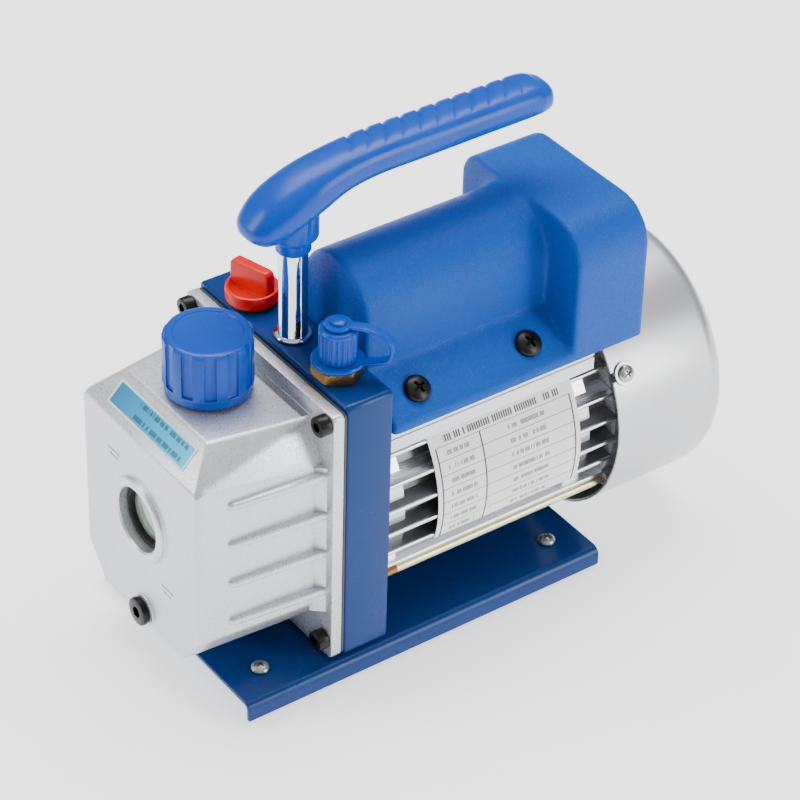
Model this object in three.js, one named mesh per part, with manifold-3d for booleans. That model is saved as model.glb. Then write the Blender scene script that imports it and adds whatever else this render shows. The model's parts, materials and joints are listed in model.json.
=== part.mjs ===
// Rotary vane vacuum pump: an oil-sealed pump and its fan-cooled motor on one pressed base plate.
// Millimetres. X runs across the pump, Y from the oil case's front face to the fan, Z up.
// Every piece is drawn with y = 0 on the oil case's front face and z = 0 on the base plate's lower
// edge. The last lines move the whole pump so that its footprint is centred and its feet stand on z = 0.

import * as THREE from 'three';
import { ConvexGeometry } from 'three/addons/geometries/ConvexGeometry.js';
import { mergeVertices } from 'three/addons/utils/BufferGeometryUtils.js';
import Module from 'manifold-3d';

const wasm = await Module();
wasm.setup();

// Clearances
const gap = 0.3; // between pieces that touch
const slideGap = 0.3; // round a piece that turns or slides
const shaftHeight = 65.6; // shaft's centre line above the base plate's lower edge

// Base plate, rubber feet and their screws
const plateFront = 14.8;
const plateLength = 184;
const plateHalfWidth = 57.85;
const plateHeight = 9;
const plateSheet = 2;
const plateBend = 4;
const footHalfSpan = 41;
const footInset = 16.5; // from each end of the plate to a foot's centre
const footDrop = 2; // how far a foot reaches below the plate's lower edge
const footTopRadius = 10;
const footBottomRadius = 8.5;
const footRecessRadius = 4.6;
const footRecessDepth = 4.5;
const footScrewRadius = 2;
const footScrewHeadRadius = 4;
const footScrewHeadHeight = 2.6;

// Oil case, a drafted casting with a flange
const caseDepth = 58;
const caseFrontHalfWidth = 43;
const caseRearHalfWidth = 47;
const caseBottom = 22;
const caseTop = 128.5;
const caseWall = 4.5;
const frontEdgeDrop = 13.5; // top face down to the top edge of the front face
const rearEdgeDrop = 21.5; // top face down to a side face's top edge at the flange
const topSlopeDepth = 13.5; // front slope, measured along Y
const topFrontHalfWidth = 30.3;
const topRearHalfWidth = 38.6;
const lowerCornerWidth = 12.5;
const lowerCornerHeight = 15.7;
const ribCount = 4;
const ribPitch = 19.9;
const lowestRib = 45.2;
const ribThickness = 3;
const ribFront = 13.5;
const ribReach = 4; // past the side face at the flange
const flangeThickness = 5.2;
const flangeHalfWidth = 54.35;
const flangeBottom = 10.6;
const flangeTop = 136.35;
const flangeCorner = 4.5;
const gasketThickness = 0.9;
const caseScrewX = 49.5;
const caseScrewLowInset = 9; // up from the flange's lower edge
const caseScrewHighInset = 4.85; // down from its upper edge
const caseScrewRadius = 2.5;
const caseScrewHeadRadius = 4.5;
const caseScrewHeadHeight = 5;
const caseScrewHexFlats = 4;
const caseScrewReach = 13; // into the bracket

// Sight glass, drain plug and oil cap
const glassHeight = 76;
const glassBoreRadius = 14.5;
const glassRimRadius = 19;
const glassRimRise = 2;
const glassSeatDepth = 6.7;
const glassThickness = 2.7;
const glassSealWidth = 2.4;
const drainHeight = 27.6;
const drainHeadRadius = 6.4;
const drainHeadThickness = 2.2;
const drainShankRadius = 4.6;
const drainShankLength = 8;
const drainBossRadius = 7.8;
const drainBossDepth = 9;
const drainHexFlats = 5;
const drainSealThickness = 0.6;
const capCentreY = 34;
const oilCapRadius = 18.7;
const oilCapHeight = 26.6;
const oilCapCollarHeight = 4;
const oilCapFlutes = 12;
const oilCapFluteWidth = 5;
const oilCapFluteDepth = 0.9;
const oilCapStubRadius = 11.5;
const oilCapStubLength = 9;
const oilCapSealRadius = 15.5;
const oilCapSealThickness = 1;

// Pump bracket and what stands on top of it
const bracketThickness = 22.2;
const bracketHalfWidth = 54.36;
const bracketTop = 138.8;
const bracketCorner = 2.5;
const topFittingsSetback = 10.3; // bracket's front face to the row of fittings on its top
const postRadius = 6.15;
const postHeight = 59.7; // above the bracket
const postBaseRadius = 8;
const postBaseHeight = 1.4;
const postStubRadius = 4.5;
const postStubLength = 11;
const inletX = 32;
const hexFlats = 19;
const hexHeight = 5.4;
const inletThreadRadius = 5.5;
const inletThreadLength = 13.5;
const inletBoreRadius = 2.4;
const inletStubRadius = 6;
const inletStubLength = 10;
const inletCapRadius = 8;
const inletCapHeight = 14.7;
const inletCapRoof = 2.4;
const inletButtonRadius = 3.4;
const inletButtonHeight = 3.6;
const strapRingRadius = 11;
const strapRingThickness = 2;
const strapWidth = 5;
const strapThickness = 1.4;
const strapReach = 24; // from the cap's axis to the outside of the loop
const strapTurn = THREE.MathUtils.degToRad(42); // direction of the loop, from +X to +Y
const exhaustX = -30;
const exhaustCapRadius = 11.5;
const exhaustCapHeight = 6;
const exhaustStubRadius = 7;
const exhaustStubLength = 9;
const exhaustSealRadius = 10.4;
const exhaustSealThickness = 1;
const wingLength = 20.5;
const wingThickness = 5;
const wingHeight = 10;
const wingTurn = THREE.MathUtils.degToRad(16);

// Carrying grip on the post
const gripCollarRadius = 7.4;
const gripCollarDrop = 17.5; // below the post's top
const gripBossRadius = 10.5;
const gripBossDrop = 11;
const gripBossRise = 8; // above the post's top
// Stations along the grip: y from the post, z from its top, half width, half height and the
// section's lean in degrees
const gripStations = [
  [125.4, 14.4, 6, 4, 0],
  [121, 15.3, 9.8, 6.8, 0],
  [113, 15.9, 10.8, 7.8, 0],
  [35, 15.3, 11, 7.9, 2],
  [19, 13.3, 11.4, 8.4, 12],
  [5, 9.1, 12.5, 10.2, 26],
  [-8, 3.5, 12.6, 10.2, 42],
  [-16.4, -2.3, 10.8, 7.6, 54],
  [-20, -6.1, 5.5, 3.6, 62],
];

// Pump cartridge inside the oil case
const pumpBodyRadius = 34;
const pumpBodyLength = 30;
const pumpBoreRadius = 22.3;
const rotorRadius = 19;
const endCoverThickness = 7.7;
const frontJournalRadius = 7;
const rearJournalRadius = 8;
const rearJournalLength = 9.4;
const vaneThickness = 4;
const vaneDepth = 14.4; // radial
const vaneTipInset = 0.4; // below the rotor's skin at rest
const pumpBoltRadius = 2.6;
const pumpBoltCircle = 29;
const tangWidth = 4.4;
const tangDepth = 3;
const sealRadius = 15;
const sealThickness = 6.4;

// Motor
const shaftRadius = 6;
const shaftTail = 6; // behind the fan
const bearingRadius = 16;
const bearingWidth = 9.7;
const housingLength = 119.8;
const housingBore = 40.8;
const housingRadius = 45.5;
const collarRadius = 48.6;
const finTipRadius = 53.6;
const finThickness = 2.2;
const finPitch = 11.06;
const lowestFin = -25.2; // from the shaft's centre line
const finCount = 6;
const frontCollarEnd = 11.8; // from the housing's front end
const rearCollarStart = 100.5;
const rearCollarEnd = 109.5;
const railEnd = 106.8;
const railHalfWidth = 50.5;
const railBottom = 103.5;
const coreLength = 60;
const coreSetback = 27.6; // from the housing's front end
const coreBore = 24.5;
const slotCount = 12;
const slotInner = 27;
const slotOuter = 36;
const slotWidth = 5;
const windingReach = 14;
const windingOuter = 38;
const windingInner = 26;
const motorRotorRadius = 24;
const motorRotorOverhang = 1.5;
const bellRadius = 52;
const bellThickness = 7;
const bellBossRadius = 20;
const bellBossDepth = 12;
const rodRadius = 2.1;
const rodAngles = [-31.87, 52.43]; // of the tie rods round the shaft, in degrees
const rodStandOff = 0.55; // from the fin tips' circle to a rod's centre line
const rodDepth = 9; // into the bracket
const rodEarClearance = 0.45; // a rod's ear on the end bell, inside the fan cover's skin
const rodNutRadius = 3.6;
const rodNutThickness = 3.2;

// Fan and fan cover
const fanSetback = 6.7; // behind the end bell's boss
const fanRadius = 49;
const fanHubRadius = 12;
const fanDepth = 18;
const fanDisc = 2;
const fanBlades = 8;
const coverOverlap = 3.1; // over the housing's rear end
const coverLength = 61.3;
const coverRadius = 59.5;
const coverSheet = 1.2;
const coverCorner = 10;
const ventCount = 10;
const ventInner = 16;
const ventOuter = 42;
const ventWidth = 3.4;
const coverScrewInset = 3.3; // from the end bell's front face
const coverScrewAngles = [30, 150];
const coverScrewRadius = 2;
const coverScrewHeadRadius = 3.8;
const coverScrewHeadHeight = 2.2;
const coverScrewReach = 9;

// Top casing: a sloped skirt, an off-centre ridge and a box for the switch at the rear
const casingSetback = 1.1; // behind the bracket
const casingLength = 129;
const casingWall = 2.5;
const casingHalfWidth = 54;
const skirtEdge = 118.4;
const skirtSlope = THREE.MathUtils.degToRad(36.6);
const ridgeX = 10;
const ridgeRadius = 23.2;
const ridgeHeight = 154.8;
const boxLength = 37.3;
const boxLeft = -28;
const boxLeftCorner = 12;
const boxRightCorner = 18;
const casingScrewX = 44.3;
const casingScrewInsets = [17.8, 74.5]; // from the casing's front end
const casingScrewRadius = 2.3;
const casingScrewHeadRadius = 6;
const casingScrewHeadHeight = 3.4;
const casingScrewLength = 9;
const capacitorRadius = 17.5;
const capacitorSetback = 12; // from the casing's front end
const capacitorLength = 72;
const inletSocketX = 31;
const inletSocketZ = 148;
const inletSocketWidth = 27;
const inletSocketHeight = 19.5;
const inletSocketDepth = 20;
const inletSocketWall = 1.5;
const inletBezelRim = 2;
const inletBezelThickness = 1.8;
const pinLength = 13;
const switchX = -3;
const switchZ = 150;
const switchWidth = 13;
const switchHeight = 19;
const switchDepth = 14;
const switchWall = 1.2;
const switchRim = 1.2;
const switchBezelThickness = 1.6;
const rockerTilt = THREE.MathUtils.degToRad(8);

// Places that follow from the sizes above
const plateBack = plateFront + plateLength;
const flangeBack = caseDepth + flangeThickness;
const gasketFront = flangeBack + gap;
const gasketBack = gasketFront + gasketThickness;
const bracketFront = gasketBack + gap;
const bracketBack = bracketFront + bracketThickness;
const bracketBottom = plateHeight + gap;
const fittingsY = bracketFront + topFittingsSetback;
const housingFront = bracketBack + gap;
const housingBack = housingFront + housingLength;
const bellFront = housingBack + gap;
const rodSpots = rodAngles.map((degrees) => {
  const angle = THREE.MathUtils.degToRad(degrees);
  const radius = finTipRadius + rodStandOff;
  return [radius * Math.cos(angle), shaftHeight + radius * Math.sin(angle)];
});
const rodEar = coverRadius - coverSheet - rodEarClearance - finTipRadius - rodStandOff;
const coreStart = housingFront + coreSetback;
const fanFront = bellFront + bellBossDepth + fanSetback;
const shaftEnd = fanFront + fanDepth + shaftTail;
const coverFront = housingBack - coverOverlap;
const coverBack = coverFront + coverLength;
const coverScrewY = bellFront + coverScrewInset;
const casingFront = bracketBack + casingSetback;
const casingBack = casingFront + casingLength;
const boxFront = casingBack - boxLength;
const casingScrewY = casingScrewInsets.map((inset) => casingFront + inset);
const capacitorFront = casingFront + capacitorSetback;
const frontEdgeHeight = caseTop - frontEdgeDrop;
const rearEdgeHeight = caseTop - rearEdgeDrop;
const caseScrewLow = flangeBottom + caseScrewLowInset;
const caseScrewHigh = flangeTop - caseScrewHighInset;
const postTop = bracketTop + postHeight;
const gripCollarBottom = postTop - gripCollarDrop;
const gripBossBottom = postTop - gripBossDrop;
const frontReach = drainHeadThickness + drainSealThickness + 2 * gap;
const slopeRise = Math.tan(skirtSlope);
const skirtDrop = casingWall / Math.cos(skirtSlope);
const skirtHeight = (x) => skirtEdge + (casingHalfWidth - Math.abs(x)) * slopeRise;
const footScrewHole = footScrewRadius + gap;
const casingTop = ridgeHeight + ridgeRadius;

// Solids and geometries

function toSolid(geometry) {
  const bare = geometry.index ? geometry.toNonIndexed() : geometry.clone();
  for (const name of Object.keys(bare.attributes)) {
    if (name !== 'position') bare.deleteAttribute(name);
  }
  const merged = mergeVertices(bare, 1e-4);
  const vertProperties = merged.attributes.position.array;
  const triVerts = new Uint32Array(merged.index.array);
  return new wasm.Manifold(new wasm.Mesh({ numProp: 3, vertProperties, triVerts }));
}

function toGeometry(solid) {
  const mesh = solid.getMesh();
  const geometry = new THREE.BufferGeometry();
  geometry.setAttribute('position', new THREE.BufferAttribute(mesh.vertProperties, 3));
  geometry.setIndex(new THREE.BufferAttribute(mesh.triVerts, 1));
  return geometry;
}

function join(...geometries) {
  return toGeometry(geometries.map(toSolid).reduce((whole, piece) => whole.add(piece)));
}

function cut(geometry, ...tools) {
  return toGeometry(tools.map(toSolid).reduce((rest, tool) => rest.subtract(tool), toSolid(geometry)));
}

// A block between two corners.
function block(x0, x1, y0, y1, z0, z1) {
  const geometry = new THREE.BoxGeometry(x1 - x0, y1 - y0, z1 - z0);
  return geometry.translate((x0 + x1) / 2, (y0 + y1) / 2, (z0 + z1) / 2);
}

// Enough sides for a turned piece of the given radius to look round.
function sidesFor(radius) {
  return THREE.MathUtils.clamp(4 * Math.round(1.15 * Math.sqrt(radius)), 8, 32);
}

// A turned piece from [radius, height] points that start and end on the axis or close on themselves.
function turned(points) {
  const segments = sidesFor(Math.max(...points.map(([radius]) => radius)));
  const profile = points.map(([radius, height]) => new THREE.Vector2(radius, height));
  if (THREE.ShapeUtils.area(profile) < 0) profile.reverse();
  return new THREE.LatheGeometry(profile, segments);
}

// Turned pieces whose axis runs along Y or Z.
function turnedY(points, x, z) {
  return turned(points).translate(x, 0, z);
}

function turnedZ(points, x, y) {
  return turned(points).rotateX(Math.PI / 2).translate(x, y, 0);
}

function rodY(radius, y0, y1, x, z) {
  return turnedY([[0, y0], [radius, y0], [radius, y1], [0, y1]], x, z);
}

function rodZ(radius, z0, z1, x, y) {
  return turnedZ([[0, z0], [radius, z0], [radius, z1], [0, z1]], x, y);
}

function ringY(inner, outer, y0, y1, x, z) {
  return turnedY([[inner, y0], [outer, y0], [outer, y1], [inner, y1], [inner, y0]], x, z);
}

function ringZ(inner, outer, z0, z1, x, y) {
  return turnedZ([[inner, z0], [outer, z0], [outer, z1], [inner, z1], [inner, z0]], x, y);
}

// A flat outline in x and z, thickened along Y.
function plateY(shape, y0, y1, curveSegments = 5) {
  const geometry = new THREE.ExtrudeGeometry(shape, { depth: y1 - y0, bevelEnabled: false, curveSegments });
  return geometry.rotateX(Math.PI / 2).translate(0, y1, 0);
}

function plateZ(shape, z0, z1, curveSegments = 5) {
  const geometry = new THREE.ExtrudeGeometry(shape, { depth: z1 - z0, bevelEnabled: false, curveSegments });
  return geometry.translate(0, 0, z0);
}

function outline(points) {
  return new THREE.Shape(points.map(([x, z]) => new THREE.Vector2(x, z)));
}

function roundedRectangle(x0, x1, z0, z1, corner) {
  const shape = new THREE.Shape();
  shape.absarc(x1 - corner, z0 + corner, corner, -Math.PI / 2, 0);
  shape.absarc(x1 - corner, z1 - corner, corner, 0, Math.PI / 2);
  shape.absarc(x0 + corner, z1 - corner, corner, Math.PI / 2, Math.PI);
  shape.absarc(x0 + corner, z0 + corner, corner, Math.PI, Math.PI * 1.5);
  shape.closePath();
  return shape;
}

function hexagon(flats, x, z) {
  const points = [];
  for (let i = 0; i < 6; i++) {
    const angle = i * Math.PI / 3;
    points.push([x + flats / Math.sqrt(3) * Math.cos(angle), z + flats / Math.sqrt(3) * Math.sin(angle)]);
  }
  return outline(points);
}

function hull(points) {
  return new ConvexGeometry(points.map(([x, y, z]) => new THREE.Vector3(x, y, z)));
}

// Points mirrored to both sides of the pump.
function mirrored(points) {
  return points.flatMap(([x, y, z]) => [[x, y, z], [-x, y, z]]);
}

// Finishes
function finish(color, roughness, metalness) {
  return new THREE.MeshStandardMaterial({ color, roughness, metalness });
}

const bluePaint = finish(0x0b49b4, 0.35, 0.1);
const bluePlastic = finish(0x0a55c8, 0.45, 0);
const redPlastic = finish(0xd8150c, 0.4, 0);
const castAluminium = finish(0xc4c5ca, 0.45, 0.75);
const machinedAluminium = finish(0xd3d4d6, 0.35, 0.8);
const silverPaint = finish(0xbdbfc2, 0.4, 0.55);
const brass = finish(0xc79a4a, 0.3, 0.9);
const chrome = finish(0xe4e6ea, 0.08, 1);
const steel = finish(0x9a9da2, 0.35, 0.9);
const zincSteel = finish(0xd0c48c, 0.35, 0.85);
const blackSteel = finish(0x1c1c1e, 0.4, 0.6);
const blackPlastic = finish(0x161618, 0.5, 0);
const rubber = finish(0x1d1d1d, 0.85, 0);
const glass = finish(0x8d9a8c, 0.05, 0);
const copper = finish(0xb56a35, 0.35, 0.85);
const ironCore = finish(0x6d6f72, 0.5, 0.7);
const ptfe = finish(0x4a4a4c, 0.6, 0);

const pump = new THREE.Group();

function add(name, geometry, material) {
  const mesh = new THREE.Mesh(geometry, material);
  mesh.name = name;
  pump.add(mesh);
  return mesh;
}

// Base plate: a pressed channel with its long sides folded down.
function basePlate() {
  const bend = plateHalfWidth - plateBend;
  const bendHeight = plateHeight - plateBend;
  const innerBend = plateBend - plateSheet;
  const shape = new THREE.Shape();
  shape.moveTo(plateHalfWidth, 0);
  shape.absarc(bend, bendHeight, plateBend, 0, Math.PI / 2);
  shape.absarc(-bend, bendHeight, plateBend, Math.PI / 2, Math.PI);
  shape.lineTo(-plateHalfWidth, 0);
  shape.lineTo(plateSheet - plateHalfWidth, 0);
  shape.absarc(-bend, bendHeight, innerBend, Math.PI, Math.PI / 2, true);
  shape.absarc(bend, bendHeight, innerBend, Math.PI / 2, 0, true);
  shape.lineTo(plateHalfWidth - plateSheet, 0);
  shape.closePath();
  const holes = footSpots().map(([x, y]) => rodZ(footScrewHole, -1, plateHeight + 1, x, y));
  return cut(plateY(shape, plateFront, plateBack, 4), ...holes);
}

function footSpots() {
  const rows = [plateFront + footInset, plateBack - footInset];
  return rows.flatMap((y) => [[footHalfSpan, y], [-footHalfSpan, y]]);
}

function rubberFoot([x, y]) {
  const top = plateHeight - plateSheet - gap;
  const recessTop = footRecessDepth - footDrop;
  return turnedZ([
    [footScrewHole, recessTop],
    [footRecessRadius, recessTop],
    [footRecessRadius, -footDrop],
    [footBottomRadius, -footDrop],
    [footTopRadius, top],
    [footScrewHole, top],
    [footScrewHole, recessTop],
  ], x, y);
}

function footScrew([x, y]) {
  const seat = plateHeight + gap;
  return turnedZ([
    [0, footRecessDepth - footDrop - 2],
    [footScrewRadius, footRecessDepth - footDrop - 2],
    [footScrewRadius, seat],
    [footScrewHeadRadius, seat],
    [footScrewHeadRadius, seat + footScrewHeadHeight * 0.4],
    [footScrewHeadRadius * 0.7, seat + footScrewHeadHeight * 0.85],
    [0, seat + footScrewHeadHeight],
  ], x, y);
}

// Oil case: a drafted box with sloped shoulders and cut lower corners, inset on all walls for its hollow.
function caseShape(inset, back) {
  const sideAt = (y) => {
    return caseFrontHalfWidth + (caseRearHalfWidth - caseFrontHalfWidth) * y / caseDepth - inset;
  };
  const bottom = caseBottom + inset;
  const top = caseTop - inset;
  const corner = caseBottom + lowerCornerHeight + inset * 0.4;
  return hull(mirrored([
    [sideAt(0), inset, frontEdgeHeight - inset * 0.6],
    [sideAt(0), inset, corner],
    [sideAt(0) - lowerCornerWidth + inset * 0.5, inset, bottom],
    [topFrontHalfWidth - inset * 0.4, topSlopeDepth + inset * 0.4, top],
    [topRearHalfWidth - inset * 0.4, back, top],
    [sideAt(back), back, rearEdgeHeight - inset * 0.4],
    [sideAt(back), back, corner],
    [sideAt(back) - lowerCornerWidth + inset * 0.5, back, bottom],
  ]));
}

function caseRib(side, z) {
  const root = caseFrontHalfWidth - 2;
  const tip = caseRearHalfWidth + ribReach;
  const nose = caseFrontHalfWidth + 1.6;
  const half = ribThickness / 2;
  const points = [];
  for (const [y, x, thick] of [[ribFront, root, half], [ribFront + 0.8, nose - 1.2, half * 0.6],
    [ribFront + 3, nose, half * 0.6], [caseDepth + 1, tip, half * 0.6], [caseDepth + 1, root, half]]) {
    points.push([side * x, y, z - thick], [side * x, y, z + thick]);
  }
  return hull(points);
}

function caseScrewSpots() {
  return [caseScrewLow, caseScrewHigh].flatMap((z) => [[caseScrewX, z], [-caseScrewX, z]]);
}

function flangeOutline() {
  return roundedRectangle(-flangeHalfWidth, flangeHalfWidth, flangeBottom, flangeTop, flangeCorner);
}

function oilCase() {
  const ribs = [];
  for (let i = 0; i < ribCount; i++) {
    for (const side of [1, -1]) ribs.push(caseRib(side, lowestRib + i * ribPitch));
  }
  const body = join(
    caseShape(0, caseDepth + 1),
    plateY(flangeOutline(), caseDepth, flangeBack, 4),
    rodY(glassRimRadius, -glassRimRise, glassSeatDepth + 2.3, 0, glassHeight),
    rodY(drainBossRadius, 0, drainBossDepth, 0, drainHeight),
    ...ribs,
  );
  return cut(
    body,
    caseHollow(),
    rodY(glassBoreRadius, -glassRimRise - 1, glassSeatDepth, 0, glassHeight),
    rodY(glassBoreRadius - glassSealWidth, 0, glassSeatDepth + 3, 0, glassHeight),
    rodY(drainShankRadius + slideGap, -1, drainBossDepth + 1, 0, drainHeight),
    rodZ(oilCapStubRadius + slideGap, caseTop - caseWall - 1, caseTop + 1, 0, capCentreY),
    ...caseScrewSpots().map(([x, z]) => rodY(caseScrewRadius + gap, caseDepth - 1, flangeBack + 1, x, z)),
  );
}

// The hollow leaves the sight glass's seat and the drain's boss standing on the front wall.
function caseHollow() {
  return cut(
    caseShape(caseWall, flangeBack + 1),
    rodY(glassRimRadius, -1, glassSeatDepth + 2.3, 0, glassHeight),
    rodY(drainBossRadius, -1, drainBossDepth, 0, drainHeight),
  );
}

function caseGasket() {
  const inner = roundedRectangle(
    caseWall - caseRearHalfWidth, caseRearHalfWidth - caseWall, caseBottom + caseWall, caseTop - caseWall, 12);
  return cut(
    plateY(flangeOutline(), gasketFront, gasketBack, 4),
    plateY(inner, gasketFront - 1, gasketBack + 1, 4),
    ...caseScrewSpots().map(([x, z]) => rodY(caseScrewRadius + gap, gasketFront - 1, gasketBack + 1, x, z)),
  );
}

function caseScrew([x, z]) {
  const seat = caseDepth - gap;
  const head = seat - caseScrewHeadHeight;
  const socket = hexagon(caseScrewHexFlats, x, z);
  return cut(
    turnedY([
      [0, head],
      [caseScrewHeadRadius, head],
      [caseScrewHeadRadius, seat],
      [caseScrewRadius, seat],
      [caseScrewRadius, bracketFront + caseScrewReach],
      [0, bracketFront + caseScrewReach],
    ], x, z),
    plateY(socket, head - 1, head + 2.6),
  );
}

function sightGlass() {
  const back = glassSeatDepth - gap;
  return rodY(glassBoreRadius - glassSealWidth - gap, back - glassThickness, back, 0, glassHeight);
}

function sightGlassSeal() {
  const back = glassSeatDepth - gap;
  return ringY(glassBoreRadius - glassSealWidth, glassBoreRadius - gap, back - glassThickness - 1, back,
    0, glassHeight);
}

function drainPlug() {
  const seat = -drainSealThickness - 2 * gap;
  const front = seat - drainHeadThickness;
  return cut(
    turnedY([
      [0, front],
      [drainHeadRadius - 0.5, front],
      [drainHeadRadius, front + 0.5],
      [drainHeadRadius, seat],
      [drainShankRadius, seat],
      [drainShankRadius, drainShankLength],
      [0, drainShankLength],
    ], 0, drainHeight),
    plateY(hexagon(drainHexFlats, 0, drainHeight), front - 1, front + 3),
  );
}

function drainSeal() {
  return ringY(drainShankRadius + gap, drainHeadRadius - 0.4, -drainSealThickness - gap, -gap, 0, drainHeight);
}

// Oil cap: broad flutes between pads above a plain collar, and a stub that screws into the case.
function oilCap() {
  const seat = caseTop + 2 * gap + oilCapSealThickness;
  const top = seat + oilCapHeight;
  const collar = seat + oilCapCollarHeight;
  const body = turnedZ([
    [0, seat - oilCapStubLength],
    [oilCapStubRadius, seat - oilCapStubLength],
    [oilCapStubRadius, seat],
    [oilCapRadius - 0.8, seat],
    [oilCapRadius - 0.5, seat + 0.8],
    [oilCapRadius - 0.5, collar - 0.5],
    [oilCapRadius, collar],
    [oilCapRadius, top - 1.2],
    [oilCapRadius - 1.2, top],
    [0, top],
  ], 0, capCentreY);
  const flutes = [];
  for (let i = 0; i < oilCapFlutes; i++) {
    const flute = block(oilCapRadius - oilCapFluteDepth, oilCapRadius + 2, -oilCapFluteWidth / 2,
      oilCapFluteWidth / 2, collar + 1, top + 1);
    flutes.push(flute.rotateZ(i * 2 * Math.PI / oilCapFlutes).translate(0, capCentreY, 0));
  }
  return cut(body, ...flutes);
}

function oilCapSeal() {
  const bottom = caseTop + gap;
  return ringZ(oilCapStubRadius + gap, oilCapSealRadius, bottom, bottom + oilCapSealThickness, 0, capCentreY);
}

// Bracket: the block that carries the pump in front, the motor behind and the fittings on top.
function pumpBracket() {
  const body = plateY(
    roundedRectangle(-bracketHalfWidth, bracketHalfWidth, bracketBottom, bracketTop, bracketCorner),
    bracketFront, bracketBack, 3);
  const screwHoles = caseScrewSpots().map(([x, z]) => {
    return rodY(caseScrewRadius + gap, bracketFront - 1, bracketFront + caseScrewReach + 1, x, z);
  });
  const rodHoles = rodPlaces().map(([x, z]) => {
    return rodY(rodRadius + gap, bracketBack - rodDepth - 1, bracketBack + 1, x, z);
  });
  return cut(
    body,
    rodY(rearJournalRadius + slideGap, bracketFront - 1, bracketBack + 1, 0, shaftHeight),
    rodY(sealRadius + gap, bracketFront - 1, bracketFront + sealThickness + gap, 0, shaftHeight),
    rodY(bearingRadius + gap, bracketBack - bearingWidth - gap, bracketBack + 1, 0, shaftHeight),
    rodZ(postStubRadius + gap, bracketTop - postStubLength - gap, bracketTop + 1, 0, fittingsY),
    rodZ(inletStubRadius + gap, bracketTop - inletStubLength - gap, bracketTop + 1, inletX, fittingsY),
    rodZ(exhaustStubRadius + slideGap, bracketTop - exhaustStubLength - gap, bracketTop + 1, exhaustX, fittingsY),
    ...screwHoles,
    ...rodHoles,
  );
}

function handlePost() {
  const seat = bracketTop + gap;
  return turnedZ([
    [0, bracketTop - postStubLength],
    [postStubRadius, bracketTop - postStubLength],
    [postStubRadius, seat],
    [postBaseRadius, seat],
    [postBaseRadius, seat + postBaseHeight],
    [postRadius, seat + postBaseHeight],
    [postRadius, postTop],
    [0, postTop],
  ], 0, fittingsY);
}

// A station's section is a rounded rectangle, leaned forward where the grip curves down to its nose.
function gripSection([stationY, stationZ, halfWidth, halfHeight, lean], overlap = 0) {
  const angle = THREE.MathUtils.degToRad(lean);
  const y = fittingsY + stationY - overlap * Math.cos(angle);
  const z = postTop + stationZ - overlap * Math.sin(angle);
  const points = [];
  for (let i = 0; i < 10; i++) {
    const turn = (i + 0.5) * Math.PI / 5;
    const across = halfWidth * Math.sign(Math.cos(turn)) * Math.abs(Math.cos(turn)) ** 0.75;
    const up = halfHeight * Math.sign(Math.sin(turn)) * Math.abs(Math.sin(turn)) ** 0.75;
    points.push([across, y - up * Math.sin(angle), z + up * Math.cos(angle)]);
  }
  return points;
}

function handleGrip() {
  const spans = [];
  for (let i = 1; i < gripStations.length; i++) {
    const overlap = i < gripStations.length - 1 ? 0.3 : 0;
    spans.push(hull([...gripSection(gripStations[i - 1]), ...gripSection(gripStations[i], overlap)]));
  }
  const shell = join(
    ...spans,
    rodZ(gripBossRadius, gripBossBottom, postTop + gripBossRise, 0, fittingsY),
    rodZ(gripCollarRadius, gripCollarBottom, gripBossBottom + 1, 0, fittingsY),
  );
  return cut(shell, rodZ(postRadius + gap, gripCollarBottom - 1, postTop + gap, 0, fittingsY));
}

function inletFitting() {
  const seat = bracketTop + gap;
  const hex = plateZ(hexagon(hexFlats, inletX, fittingsY), seat, seat + hexHeight);
  return cut(
    join(
      hex,
      rodZ(inletStubRadius, bracketTop - inletStubLength, seat + 1, inletX, fittingsY),
      rodZ(inletThreadRadius, seat + 1, seat + hexHeight + inletThreadLength, inletX, fittingsY),
    ),
    rodZ(inletBoreRadius, bracketTop - inletStubLength - 1, seat + hexHeight + inletThreadLength + 1,
      inletX, fittingsY),
  );
}

// The cap's strap has one ring round the fitting below the cap and one ring round the cap's button.
const strapSeat = bracketTop + gap + hexHeight + gap;
const inletCapBottom = strapSeat + strapRingThickness + gap;
const inletCapTop = inletCapBottom + inletCapHeight;
const strapTopSeat = inletCapTop + gap;

function inletCap() {
  const hollowTop = inletCapTop - inletCapRoof;
  return turnedZ([
    [inletThreadRadius + slideGap, inletCapBottom],
    [inletCapRadius, inletCapBottom],
    [inletCapRadius, inletCapTop - 1],
    [inletCapRadius - 1, inletCapTop],
    [inletButtonRadius - 0.6, inletCapTop],
    [inletButtonRadius - 0.6, strapTopSeat + strapThickness + gap],
    [inletButtonRadius, strapTopSeat + strapThickness + gap],
    [inletButtonRadius, inletCapTop + inletButtonHeight - 0.6],
    [inletButtonRadius - 0.8, inletCapTop + inletButtonHeight],
    [0, inletCapTop + inletButtonHeight],
    [0, hollowTop],
    [inletThreadRadius + slideGap, hollowTop],
    [inletThreadRadius + slideGap, inletCapBottom],
  ], inletX, fittingsY);
}

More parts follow.
